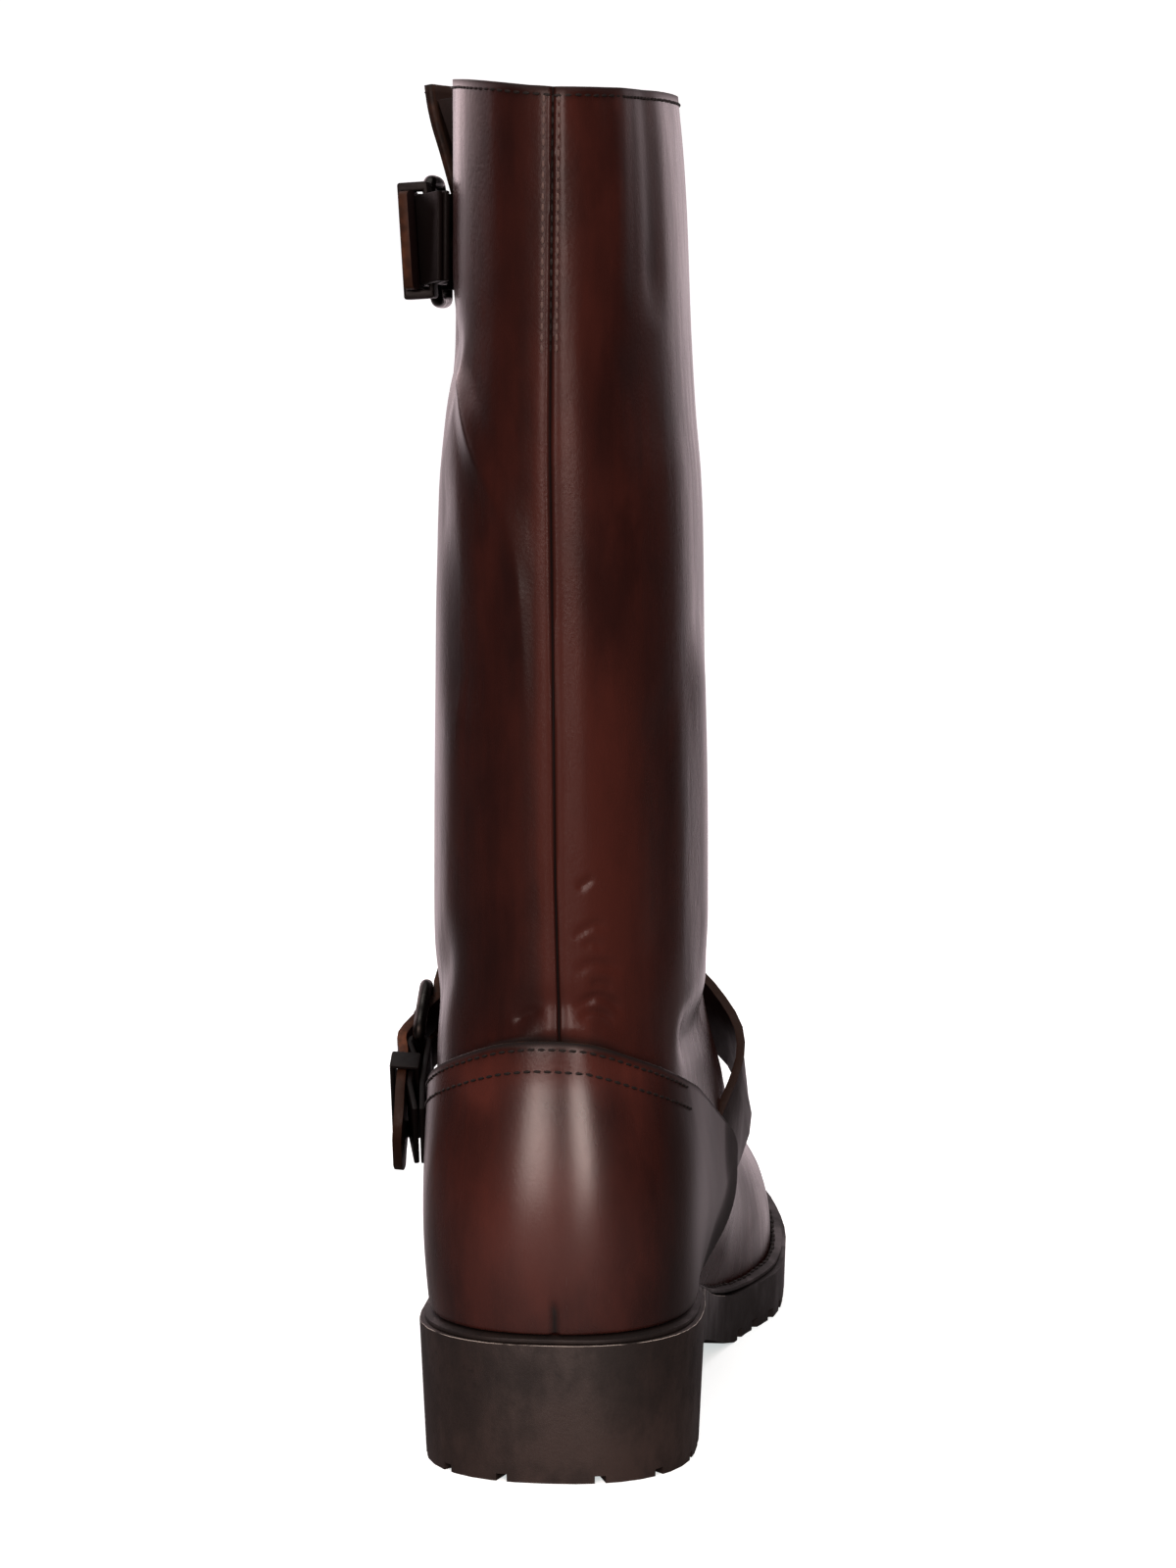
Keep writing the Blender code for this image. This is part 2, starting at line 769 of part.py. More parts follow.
def build_counter(material):
    """Heel overlay cut between two offsets of the upper."""
    shares = counter_shares()
    places = [(share, share) for share in reversed(shares)] + [(share, 2.0 - share) for share in shares[1:]]
    outer, inner = [], []
    for r in range(COUNTER_ROWS):
        for share, place in places:
            sweep = share / COUNTER_NOSE
            low, high = read(COUNTER, "low", sweep), read(COUNTER, "high", sweep)
            level = mix(low, high, r / (COUNTER_ROWS - 1))
            outer.append(facet_point(level, place, COUNTER_SEAT + COUNTER_WALL))
            inner.append(facet_point(level, place, COUNTER_SEAT))
    faces = sheet_faces(COUNTER_ROWS, len(places))
    return solid("counter", walled(outer, inner, faces), material)


def build_welt(material):
    """Stitched strip on the sole's ledge, close round the foot of the upper."""
    sections = []
    for column in range(UPPER_COLUMNS):
        around = column_around(column)
        side = 1.0 if around <= 1.0 else -1.0
        share = around if side > 0 else 2.0 - around
        low = upper_point(0.0, around, OVERLAY_SEAT)
        high = upper_point(WELT_RISE, around, OVERLAY_SEAT)
        ends = WELT_LIP - HEEL_OVERHANG, SOLE_LENGTH - HEEL_OVERHANG - WELT_LIP
        y = mix(*ends, 0.5 - 0.5 * math.cos(math.pi * share))
        x = centre(y)
        if 0.0 < share < 1.0:
            x += side * max(sole_half(y, side) - WELT_LIP, 0.0)
        sections.append([
            (low.x, low.y, sole_top(low.y) + SEAT),
            (high.x, high.y, sole_top(high.y) + SEAT + WELT_RISE),
            (x, y, sole_top(y) + SEAT + WELT_EDGE),
            (x, y, sole_top(y) + SEAT),
        ])
    return solid("welt", tube(sections, closed=True), material)


def build_insole(material):
    """Board on the sole, inside the wall of the upper."""
    sections = []
    for column in range(SIDE_COLUMNS + 1):
        pair = []
        for around in (column_around(column), 2.0 - column_around(column)):
            point = upper_point(0.0, around, -WALL - OVERLAY_SEAT)
            pair.append((point.x, point.y))
        (ax, ay), (bx, by) = pair
        sections.append([
            (ax, ay, sole_top(ay) + SEAT),
            (bx, by, sole_top(by) + SEAT),
            (bx, by, sole_top(by) + SEAT + INSOLE_WALL),
            (ax, ay, sole_top(ay) + SEAT + INSOLE_WALL),
        ])
    return solid("insole", tube(sections), material)


class Seat:
    """Place of a buckle on the boot: run goes along the strap, out away from the boot."""

    def __init__(self, middle, down, lean, bar_out):
        self.middle = Vector(middle)
        self.run = Vector((0.0, -math.cos(down), -math.sin(down)))
        level_out = Vector((-math.cos(lean), 0.0, -math.sin(lean)))
        self.across = self.run.cross(level_out).normalized()
        self.out = self.across.cross(self.run)
        self.bar_out = bar_out
        self.under = bar_out - WIRE_RADIUS - SEAT - 0.5 * STRAP_WALL
        self.over = bar_out + WIRE_RADIUS + CHAPE_WALL + 2.0 * SEAT + 0.5 * STRAP_WALL
        self.fold = WIRE_RADIUS + SEAT + 0.5 * CHAPE_WALL
        self.chape_low = bar_out - self.fold
        self.chape_high = self.chape_low + CHAPE_WALL + KEEPER_WALL + 2.0 * SEAT

    def point(self, run, out, across=0.0):
        return self.middle + self.run * run + self.out * out + self.across * across


ANKLE_SEAT = Seat((-37.5, 52.0, 94.0), math.radians(38.0), math.radians(-5.5), 6.8)
COLLAR_SEAT = Seat((-30.2, 42.0, 309.3), 0.0, math.radians(3.5), 8.0)


def smooth_path(stations):
    """Stations on a smooth curve through the given ones: place, way out and width share."""
    path = []
    for i in range(len(stations) - 1):
        before = stations[max(i - 1, 0)]
        here, there = stations[i], stations[i + 1]
        after = stations[min(i + 2, len(stations) - 1)]
        for k in range(STRAP_STEPS):
            t = k / STRAP_STEPS
            place = here[0] * (1 - t) ** 2 * (1 + 2 * t) + there[0] * t * t * (3 - 2 * t)
            place += (there[0] - before[0]) * 0.5 * t * (1 - t) ** 2
            place -= (after[0] - here[0]) * 0.5 * t * t * (1 - t)
            path.append((place, here[1].lerp(there[1], t).normalized(), mix(here[2], there[2], t)))
    return path + [stations[-1]]


def ribbon(path, width, wall):
    """Polygons of a flat strip along a path."""
    sections = []
    for i, (place, out, share) in enumerate(path):
        ahead = path[min(i + 1, len(path) - 1)][0] - path[max(i - 1, 0)][0]
        across = out.cross(ahead).normalized() * (0.5 * width * share)
        thick = ahead.cross(across).normalized() * (0.5 * wall)
        sections.append([place + across + thick, place - across + thick,
                         place - across - thick, place + across - thick])
    return tube(sections)


def strap_stations(seat, lead, tail):
    """Stations of a strap: round the boot, under the front bar, over the chape and on to its tip."""
    stations = []
    for around, level, stand in lead[1:]:
        stations.append((upper_point(level, around, stand), upper_normal(level, around), 1.0))
    for run, share in THREADED[1:]:
        stations.append((seat.point(run, mix(seat.under, seat.over, share)), seat.out, 1.0))
    for run, lift, share in tail[1:]:
        stations.append((seat.point(run, seat.over + lift), seat.out, share))
    return stations


def build_strap(name, seat, lead, tail, material):
    """Strap with the hole that its prong passes."""
    path = smooth_path(strap_stations(seat, lead, tail))
    piece = solid(name, ribbon(path, STRAP_WIDTH, STRAP_WALL), material)
    half = 0.5 * HOLE_WIDTH
    outline = ((-HOLE_REACH, -half), (HOLE_REACH, -half), (HOLE_REACH, half), (-HOLE_REACH, half))
    ends = []
    for out in (seat.bar_out - HOLE_DEPTH, seat.bar_out + HOLE_DEPTH):
        ends.append([seat.point(run, out, across) for run, across in outline])
    cut(piece, name + "_hole_cutter", tube(ends))
    return piece


def build_chape(name, seat, sewn_end, material):
    """Strap end folded round the buckle's rear bar, its two layers parted by the keeper."""
    level, end_y, stand = sewn_end
    around = around_at(level, end_y, -1.0)
    end_out = upper_normal(level, around)
    outer_end = upper_point(level, around, stand + CHAPE_WALL + SEAT)
    inner_end = upper_point(level, around, stand)
    near, far = KEEPER_RUN - KEEPER_CLEAR, KEEPER_RUN + KEEPER_CLEAR
    places = [outer_end, seat.point(far, seat.chape_high), seat.point(near, seat.chape_high)]
    for step in range(FOLD_STEPS + 1):
        turn = math.pi * step / FOLD_STEPS
        run = BUCKLE_REACH - seat.fold * math.sin(turn)
        places.append(seat.point(run, seat.bar_out + seat.fold * math.cos(turn)))
    places += [seat.point(near, seat.chape_low), seat.point(far, seat.chape_low), inner_end]
    path = []
    for i, place in enumerate(places):
        ahead = places[min(i + 1, len(places) - 1)] - places[max(i - 1, 0)]
        way_out = ahead.cross(seat.across).normalized()
        if i == 0:
            way_out = end_out
        if i == len(places) - 1:
            way_out = -end_out
        path.append((place, way_out, 1.0))
    return solid(name, ribbon(path, CHAPE_WIDTH, CHAPE_WALL), material)


def build_keeper(name, seat, material):
    """Flat loop held between the chape's layers, round the strap's tail."""
    low = seat.chape_low + 0.5 * CHAPE_WALL + SEAT
    high = seat.over - TAIL_DIP + 0.5 * STRAP_WALL + KEEPER_SLACK + KEEPER_WALL
    half = 0.5 * STRAP_WIDTH + 2.0 * SEAT + KEEPER_WALL
    loops = []
    for end, wall in ((-0.5, 0.0), (0.5, 0.0), (0.5, KEEPER_WALL), (-0.5, KEEPER_WALL)):
        run = KEEPER_RUN + end * KEEPER_BAND
        bottom, top, side = low + wall, high - wall, half - wall
        outline = ((bottom, -side), (bottom, side), (top, side), (top, -side))
        loops.append([seat.point(run, out, across) for out, across in outline])
    return solid(name, tube(loops, closed=True), material, smooth=False)


def build_buckle(name, seat, material):
    """Wire frame with round corners."""
    half_across = 0.5 * STRAP_WIDTH + BUCKLE_SLACK + WIRE_RADIUS
    sections = []
    for corner, (run_side, across_side) in enumerate(((1, 1), (-1, 1), (-1, -1), (1, -1))):
        for step in range(BUCKLE_CORNER_STEPS):
            turn = 0.5 * math.pi * (corner + step / (BUCKLE_CORNER_STEPS - 1))
            run = run_side * (BUCKLE_REACH - BUCKLE_CORNER) + BUCKLE_CORNER * math.cos(turn)
            across = across_side * (half_across - BUCKLE_CORNER) + BUCKLE_CORNER * math.sin(turn)
            ring = []
            for side in range(WIRE_SIDES):
                angle = 2.0 * math.pi * (side + 0.5) / WIRE_SIDES
                reach = WIRE_RADIUS * math.cos(angle)
                out = seat.bar_out + WIRE_RADIUS * math.sin(angle)
                ring.append(seat.point(run + reach * math.cos(turn), out, across + reach * math.sin(turn)))
            sections.append(ring)
    return solid(name, tube(sections, closed=True), material)


def build_prong(name, seat, material):
    """Tongue from the rear bar through the strap's hole to the front bar."""
    rest = seat.bar_out + WIRE_RADIUS + SEAT + PRONG_RADIUS
    start = BUCKLE_REACH - seat.fold - 0.5 * CHAPE_WALL - SEAT
    line = ((start, seat.bar_out), (0.0, mix(seat.bar_out, rest, 0.7)), (-BUCKLE_REACH, rest),
            (-BUCKLE_REACH - PRONG_TIP, rest))
    sections = []
    for run, out in line:
        ring = []
        for side in range(WIRE_SIDES):
            angle = 2.0 * math.pi * side / WIRE_SIDES
            ring.append(seat.point(run, out + PRONG_RADIUS * math.sin(angle), PRONG_RADIUS * math.cos(angle)))
        sections.append(ring)
    return solid(name, tube(sections), material)


def build_fastening(name, seat, lead, tail, sewn_end, leather, metal):
    """Strap, chape, keeper, buckle and prong of one fastening."""
    build_strap(name + "_strap", seat, lead, tail, leather)
    build_chape(name + "_chape", seat, sewn_end, leather)
    build_keeper(name + "_keeper", seat, leather)
    build_buckle(name + "_buckle", seat, metal)
    build_prong(name + "_prong", seat, metal)


def clear_scene():
    for piece in list(bpy.data.objects):
        bpy.data.objects.remove(piece, do_unlink=True)


def main():
    clear_scene()
    brown = (0.085, 0.026, 0.016)
    build_sole(finish("sole_rubber", (0.020, 0.013, 0.011), 0.55, 0.0))
    build_upper(finish("upper_leather", brown, 0.35, 0.0))
    build_gusset(finish("gusset_leather", (0.04, 0.014, 0.01), 0.5, 0.0))
    build_counter(finish("counter_leather", (0.075, 0.022, 0.014), 0.32, 0.0))
    build_welt(finish("welt_rubber", (0.022, 0.013, 0.010), 0.6, 0.0))
    build_insole(finish("insole_board", (0.10, 0.055, 0.030), 0.8, 0.0))
    strap = finish("strap_leather", (0.045, 0.016, 0.012), 0.35, 0.0)
    metal = finish("buckle_metal", (0.16, 0.14, 0.12), 0.28, 1.0)
    build_fastening("ankle", ANKLE_SEAT, ANKLE_LEAD, ANKLE_TAIL, ANKLE_CHAPE_END, strap, metal)
    build_fastening("collar", COLLAR_SEAT, COLLAR_LEAD, COLLAR_TAIL, COLLAR_CHAPE_END, strap, metal)


if __name__ == "__main__":
    main()
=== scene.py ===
"""Looks of the left calf boot: creased leather, stitches, rubber, buckles, floor, light and camera.

The solids come from the frame in metres, with the toe along +Y, the inner side of the foot along +X
and the floor at Z = 0. Tables below are in that frame, in millimetres unless they say metres.
"""

import json
import math

import bmesh
import bpy
import numpy as np
from mathutils import Matrix, Vector, kdtree
from mathutils.bvhtree import BVHTree

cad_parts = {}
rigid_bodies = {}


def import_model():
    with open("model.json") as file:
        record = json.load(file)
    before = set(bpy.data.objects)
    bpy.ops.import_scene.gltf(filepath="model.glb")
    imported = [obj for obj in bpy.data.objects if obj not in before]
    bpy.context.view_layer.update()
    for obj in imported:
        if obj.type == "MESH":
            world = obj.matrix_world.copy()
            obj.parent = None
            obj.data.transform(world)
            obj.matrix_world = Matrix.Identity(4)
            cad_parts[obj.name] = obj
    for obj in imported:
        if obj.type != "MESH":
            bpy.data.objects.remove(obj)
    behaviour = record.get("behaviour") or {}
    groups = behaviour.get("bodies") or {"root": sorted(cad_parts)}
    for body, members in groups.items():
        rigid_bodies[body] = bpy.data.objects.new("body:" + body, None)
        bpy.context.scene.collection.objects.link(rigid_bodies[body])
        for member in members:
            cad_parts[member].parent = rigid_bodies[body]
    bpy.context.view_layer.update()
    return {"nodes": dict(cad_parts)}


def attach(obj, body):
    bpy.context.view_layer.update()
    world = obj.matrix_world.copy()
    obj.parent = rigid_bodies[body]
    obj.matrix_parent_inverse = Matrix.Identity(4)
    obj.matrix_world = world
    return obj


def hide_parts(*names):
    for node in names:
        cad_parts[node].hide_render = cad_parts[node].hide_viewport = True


bl_info = {
    "name": "Calf boot",
    "version": (1, 0, 0),
    "blender": (4, 5, 0),
    "location": "View3D > Sidebar > Boot",
    "description": "Dresses the solids of a calf boot with leather, stitches, rubber and buckles",
    "category": "Object",
}

for leftover in list(bpy.data.objects):
    bpy.data.objects.remove(leftover, do_unlink=True)
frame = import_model()
MM = 0.001

# Creases of the upper: width, depth (outward is positive) and the line they follow
CREASES = {
    "outer_pinch": (10.0, -2.0, ((-31, 22, 287), (-29, 2, 281), (-24, -14, 272))),
    "outer_top": (12.0, -1.0, ((-31, 20, 372), (-31, 20, 330), (-31, 20, 300))),
    "flap_stand": (9.0, 1.2, ((-30, 51, 288), (-33, 52, 308), (-36, 52, 330), (-40, 52, 352))),
    "flap_tip": (4.5, -2.0, ((-38, 36, 353), (-41, 52, 353), (-38, 68, 353))),
    "outer_flat": (13.0, -1.2, ((-33, 5, 250), (-27, -14, 225), (-25, -18, 185))),
    "inner_top_edge": (4.0, 0.7, ((17, -24, 356), (17, -25, 318), (17, -26, 280))),
    "inner_top_flat": (7.0, -1.0, ((25, -10, 356), (26, -10, 318), (26, -11, 285))),
    "inner_low_bulge": (12.0, 1.3, ((32, 20, 215), (33, 27, 174), (33, 29, 132), (33, 28, 112))),
    "inner_low_trough": (9.0, -1.0, ((24, -16, 200), (26, -12, 160), (25, -14, 118))),
    "inner_ankle_tuck": (6.0, -1.8, ((28, -4, 108), (32, 20, 105), (32, 50, 104), (29, 75, 106))),
    "outer_ankle_trough": (9.0, -1.3, ((-24, -20, 138), (-32, -2, 120), (-35, 25, 112), (-33, 55, 112))),
    "heel_roll": (2.8, 0.7, ((-19, -28, 103), (-10, -32, 109), (-3, -33, 112.5), (2.5, -33, 113.5),
                             (10.5, -31.5, 113), (20, -25, 107))),
    "heel_roll_top": (3.5, -0.5, ((-14, -30, 112), (-4, -33, 119), (3, -33, 120), (11, -31, 119),
                                  (20, -25, 113))),
    "front_ankle_trough": (9.0, -1.5, ((-26, 70, 128), (0, 96, 124), (24, 74, 126))),
    "front_shaft_trough": (12.0, -1.6, ((-20, 86, 210), (2, 97, 190), (22, 84, 205))),
    "vamp_flex_rear": (6.0, -0.7, ((-36, 138, 40), (-12, 142, 63), (14, 146, 63), (34, 152, 40))),
    "vamp_flex_front": (5.0, -0.5, ((-34, 156, 36), (-10, 160, 58), (16, 164, 57), (36, 168, 34))),
}

# Folds, where two flats of the shaft meet in a ridge: half width, rise and line
FOLDS = {
    "outer_fold": (8.0, 1.5, ((-29, -4, 281), (-24, -16.1, 271.6), (-22.2, -20.2, 265.7),
                              (-19.9, -24.1, 258.5), (-16.4, -28.1, 250.9), (-12.4, -31.0, 242.4),
                              (-9.1, -32.4, 232.9), (-7.1, -32.9, 221.6), (-6.2, -32.9, 204.0))),
    "outer_fold_low": (2.6, 0.42, ((-9.1, -32.4, 233.0), (-7.1, -32.9, 221.6), (-6.2, -32.9, 204.0),
                                   (-6.0, -32.7, 185.0))),
}
FOLD_RIDGE = 0.8

# Fine wrinkles above the heel, seen from behind: width, depth and sideways place and height
WRINKLES = (
    (1.2, -0.41, ((6.8, 148.0), (8.5, 149.3), (11.8, 151.6))),
    (1.3, -0.35, ((5.7, 136.0), (9.0, 138.2), (12.0, 139.5), (15.0, 137.5))),
    (1.2, -0.28, ((8.0, 133.6), (11.0, 135.0), (14.2, 133.0))),
    (1.3, -0.50, ((6.0, 127.0), (10.0, 129.5), (15.0, 129.0), (18.4, 126.0))),
    (1.2, -0.55, ((9.0, 123.6), (13.0, 124.6), (16.6, 122.4))),
    (1.3, -0.85, ((5.6, 118.4), (10.0, 120.6), (13.0, 121.4), (16.4, 119.0), (18.6, 115.4))),
    (1.1, -0.70, ((7.0, 115.6), (10.5, 117.4), (14.0, 116.6), (17.0, 113.6))),
    (1.3, -0.55, ((-0.6, 117.8), (-5.0, 117.0), (-9.4, 114.0))),
)

# Back seam: sideways place at heights, where it starts, and the padding on both sides of it
SEAM_HEIGHTS = (36.0, 75.0, 110.0, 150.0, 257.0, 300.0, 350.0)
SEAM_PLACES = (2.6, 2.7, 3.0, 1.9, 0.9, 1.4, 2.1)
SEAM_FOOT = 50.0
PAD_PLACE, PAD_WIDTH, PAD_RISE = 2.2, 1.6, 0.15

# Rubbed places seen from behind: sideways place and reach, height and reach, and strength. The first heel
# place, at the counter's lower middle, is partly rubbed wear and partly painted light from the pale floor.
SHAFT_RUBS = ((17.0, 10.0, 155.0, 55.0, 1.0), (10.0, 8.0, 335.0, 30.0, 0.5))
HEEL_RUBS_AND_LIGHT = ((2.0, 24.0, 62.0, 24.0, 1.0), (-17.0, 5.0, 98.0, 5.0, 1.0))

# Ways of the straps past their buckles
ANKLE_RUN = Vector((0.0, -0.788, -0.616))
COLLAR_RUN = Vector((0.0, -1.0, 0.0))

# Sewn end of the ankle strap: where its bend starts, the way up the strap, and how far the end goes
TUCK_PLACE = Vector((40.5, 88.2, 77.0))
TUCK_WAY = Vector((0.14, 0.77, 0.63))
TUCK_LENGTH = 12.0
TUCK_SHIFT = Vector((-2.6, -7.0, -5.5))

# Colour of paler thread against fresh thread, a painted highlight on the stitch rows beside the back seam,
# and how far out the rays start that seek the leather
THREAD_HIGHLIGHT = (15.0, 17.0, 20.0)
RAY_START = 150.0

# Strip lights: turn from the camera in degrees and share of their power; places and size in metres
STRIPS = ((-19.5, 0.84), (12.0, 0.98))
STRIP_DISTANCE, STRIP_HEIGHT, STRIP_AIM, STRIP_SIZE = 1.3, 0.62, 0.30, (0.33, 0.92)
STRIP_COLOUR = (1.0, 0.80, 0.74)

# Side panels: turn from the camera in degrees, width, foot and height in metres, and glow
PANELS = {
    "inner_panel": (128.0, 1.70, 0.335, 0.9, 0.40),
    "outer_panel": (-130.0, 1.40, 0.37, 0.9, 2.2),
}
PANEL_DISTANCE = 1.2
PANEL_COLOUR = (1.0, 0.77, 0.79)

# Floor: where it starts to curve up behind the boot, and how round, in metres
SWEEP_START, SWEEP_RADIUS = 1.6, 0.8


def colour_value(name, description, default):
    """Colour setting."""
    return bpy.props.FloatVectorProperty(name=name, description=description, default=default,
                                         min=0.0, max=1.0, subtype="COLOR")


def number_value(name, description, default, low, high, **kind):
    """Number setting with its limits, and a unit or subtype if it has one."""
    return bpy.props.FloatProperty(name=name, description=description, default=default,
                                   min=low, max=high, **kind)


class BootLeather(bpy.types.PropertyGroup):
    """Colours and finish of the leather and the rubber."""

    dark: colour_value("Dark brown", "Shaded tone of the leather", (0.0125, 0.0042, 0.0037))
    red: colour_value("Red brown", "Rubbed tone of the leather", (0.050, 0.0130, 0.0095))
    raw: colour_value("Raw edge", "Cut edge of the straps", (0.115, 0.042, 0.020))
    strap: colour_value("Strap", "Tone of the straps", (0.0085, 0.0036, 0.0034))
    thread: colour_value("Thread", "Dark brown thread", (0.0035, 0.0020, 0.0015))
    lining: colour_value("Lining", "Inside of the upper", (0.030, 0.014, 0.009))
    rubber: colour_value("Rubber", "Sole and heel", (0.0195, 0.0131, 0.0114))
    metal: colour_value("Buckle", "Dark metal of the buckles", (0.016, 0.014, 0.013))
    grain: number_value("Grain", "Width of a pebble of the leather's grain", 0.0009, 0.0002, 0.005,
                        unit="LENGTH")


class BootShape(bpy.types.PropertyGroup):
    """Sizes of creases, seams and stitches."""

    crease: number_value("Crease", "Depth of the creases against their table", 1.0, 0.0, 2.0)
    seam_depth: number_value("Seam depth", "Depth of the back seam's groove", 0.0006, 0.0, 0.003,
                             unit="LENGTH")
    seam_width: number_value("Seam width", "Half width of the back seam's groove", 0.00035, 0.0001, 0.004,
                             unit="LENGTH")
    wall: number_value("Wall", "Thickness of the upper", 0.0022, 0.001, 0.004, unit="LENGTH")
    stitch: number_value("Stitch", "Distance from stitch to stitch", 0.0026, 0.001, 0.01, unit="LENGTH")
    thread: number_value("Thread", "Radius of the thread", 0.00042, 0.0001, 0.001, unit="LENGTH")


class BootStage(bpy.types.PropertyGroup):
    """Camera and light."""

    distance: number_value("Distance", "Camera's distance from the heel", 1.038, 0.3, 5.0, unit="LENGTH")
    azimuth: number_value("Azimuth", "Camera's turn towards the inner side", math.radians(7.0),
                          -math.pi, math.pi, subtype="ANGLE")
    height: number_value("Height", "Camera's height over the floor", 0.282, 0.0, 3.0, unit="LENGTH")
    tilt: number_value("Tilt", "Camera's tilt down", math.radians(6.1), -1.5, 1.5, subtype="ANGLE")
    lens: number_value("Lens", "Focal length for a 36 mm high frame, in millimetres", 94.3, 10.0, 300.0)
    strip_power: number_value("Strips", "Power of each upright strip light", 12.4, 0.0, 1000.0)
    top_power: number_value("Top", "Power of the soft light overhead", 26.0, 0.0, 1000.0)


def merged(node):
    """Copy of a solid's mesh with its corners merged and its triangles joined to quads."""
    bm = bmesh.new()
    bm.from_mesh(frame["nodes"][node].data)
    bmesh.ops.remove_doubles(bm, verts=bm.verts, dist=0.01 * MM)
    bmesh.ops.join_triangles(bm, faces=bm.faces, angle_face_threshold=math.radians(50.0),
                             angle_shape_threshold=math.radians(100.0))
    return bm


def outer_sheet(bm, bend=45.0):
    """Keeps the largest smooth stretch of a walled mesh, which is its outside."""
    left = set(bm.faces)
    largest, best = [], 0.0
    while left:
        start = left.pop()
        island, queue = [start], [start]
        while queue:
            for edge in queue.pop().edges:
                if len(edge.link_faces) == 2 and edge.calc_face_angle() < math.radians(bend):
                    for face in edge.link_faces:
                        if face in left:
                            left.discard(face)
                            island.append(face)
                            queue.append(face)
        area = sum(face.calc_area() for face in island)
        if area > best:
            largest, best = island, area
    keep = set(largest)
    bmesh.ops.delete(bm, geom=[face for face in bm.faces if face not in keep], context="FACES")


def rounded(bm, levels, hold=0.0):
    """Subdivided copy of a mesh; edges sharper than 40 degrees are held by the given crease."""
    if hold:
        layer = bm.edges.layers.float.new("crease_edge")
        for edge in bm.edges:
            if len(edge.link_faces) == 2 and edge.calc_face_angle() > math.radians(40.0):
                edge[layer] = hold
    work = plain_object("work", bm)
    modifier = work.modifiers.new("round", "SUBSURF")
    modifier.levels = levels
    modifier.render_levels = levels
    modifier.boundary_smooth = "PRESERVE_CORNERS"
    fine = bmesh.new()
    fine.from_object(work, bpy.context.evaluated_depsgraph_get())
    bpy.data.objects.remove(work, do_unlink=True)
    return fine


def plain_object(name, bm):
    """Object of a bmesh, which is freed."""
    mesh = bpy.data.meshes.new(name)
    bm.to_mesh(mesh)
    bm.free()
    for layer in ("sharp_edge", "sharp_face", "custom_normal"):
        if layer in mesh.attributes:
            mesh.attributes.remove(mesh.attributes[layer])
    piece = bpy.data.objects.new(name, mesh)
    bpy.context.scene.collection.objects.link(piece)
    return piece


def dressed(name, bm, materials, nodes=(), sharp=40.0):
    """Finished piece that rides on the boot and stands for the given solids."""
    piece = plain_object(name, bm)
    piece.data.shade_smooth()
    piece.data.set_sharp_from_angle(angle=math.radians(sharp))
    for material in materials:
        piece.data.materials.append(material)
    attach(piece, "root")
    for node in nodes:
        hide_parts(node)
    return piece


def round_edges(bm, edges, size, clamp=True):
    """Rounds off edges by a size in millimetres and returns the new faces."""
    return bmesh.ops.bevel(bm, geom=edges, offset=size * MM, offset_type="OFFSET", affect="EDGES",
                           segments=2, profile=0.5, material=-1, clamp_overlap=clamp)["faces"]


def places_of(bm):
    """Places and normals of a mesh's corners as arrays, in metres."""
    bm.normal_update()
    return (np.array([vert.co for vert in bm.verts]), np.array([vert.normal for vert in bm.verts]))


def near_line(points, line):
    """Distance of points to a bent line, and how far along it the nearest place lies, 0 to 1."""
    corners = np.array(line, float) * MM
    lengths = np.linalg.norm(np.diff(corners, axis=0), axis=1)
    starts = np.concatenate(([0.0], np.cumsum(lengths)))
    best = np.full(len(points), 1e9)
    share = np.zeros(len(points))
    for i, length in enumerate(lengths):
        way = (corners[i + 1] - corners[i]) / length
        t = np.clip((points - corners[i]) @ way, 0.0, length)
        gap = np.linalg.norm(points - corners[i] - t[:, None] * way, axis=1)
        nearer = gap < best
        best = np.where(nearer, gap, best)
        share = np.where(nearer, (starts[i] + t) / starts[-1], share)
    return best, share


def gap_to(places, chosen):
    """Distance of every place to the nearest of the chosen ones."""
    tree = kdtree.KDTree(len(places))
    for i in np.flatnonzero(chosen):
        tree.insert(places[i], int(i))
    tree.balance()
    return np.array([tree.find(place)[2] for place in places])


def smooth_line(line, steps=6):
    """Smooth curve through the corners of a line."""
    corners = [Vector(corner) for corner in line]
    out = []
    for i in range(len(corners) - 1):
        before, here = corners[max(i - 1, 0)], corners[i]
        there, after = corners[i + 1], corners[min(i + 2, len(corners) - 1)]
        for k in range(steps):
            t = k / steps
            place = here * (1 - t) ** 2 * (1 + 2 * t) + there * t * t * (3 - 2 * t)
            place += (there - before) * 0.5 * t * (1 - t) ** 2
            out.append(place - (after - here) * 0.5 * t * t * (1 - t))
    return out + [corners[-1]]


def soft_end(share, fade=0.22):
    """Fades a crease in and out at its ends."""
    t = np.clip(np.minimum(share, 1.0 - share) / fade, 0.0, 1.0)
    return t * t * (3.0 - 2.0 * t)


def bell(values, centre, width, power=2):
    """Bell curve of values: 1 at its centre and near 0 at twice its width."""
    return np.exp(-((values - centre) / width) ** power)


def ramp(values, start, end):
    """Straight rise of values from 0 at a start to 1 at an end, which may be the lower of the two."""
    return np.clip((values - start) / (end - start), 0.0, 1.0)


def rubs(places, table):
    """Sum of a table's rubbed places at every place."""
    total = np.zeros(len(places))
    for x, wide, z, tall, strength in table:
        total += strength * bell(places[:, 0], x * MM, wide * MM) * bell(places[:, 2], z * MM, tall * MM)
    return total


def shaded(colour, share):
    """Colour multiplied by a share, up to white."""
    return tuple(min(share * part, 1.0) for part in colour)


def seam_place(heights):
    """Sideways place of the back seam at heights, in metres."""
    return np.interp(np.asarray(heights) / MM, SEAM_HEIGHTS, SEAM_PLACES) * MM


def set_mask(piece, name, values):
    """Stores one value per corner for the piece's material."""
    layer = piece.data.attributes.new(name, "FLOAT", "POINT")
    layer.data.foreach_set("value", np.asarray(values, np.float32))


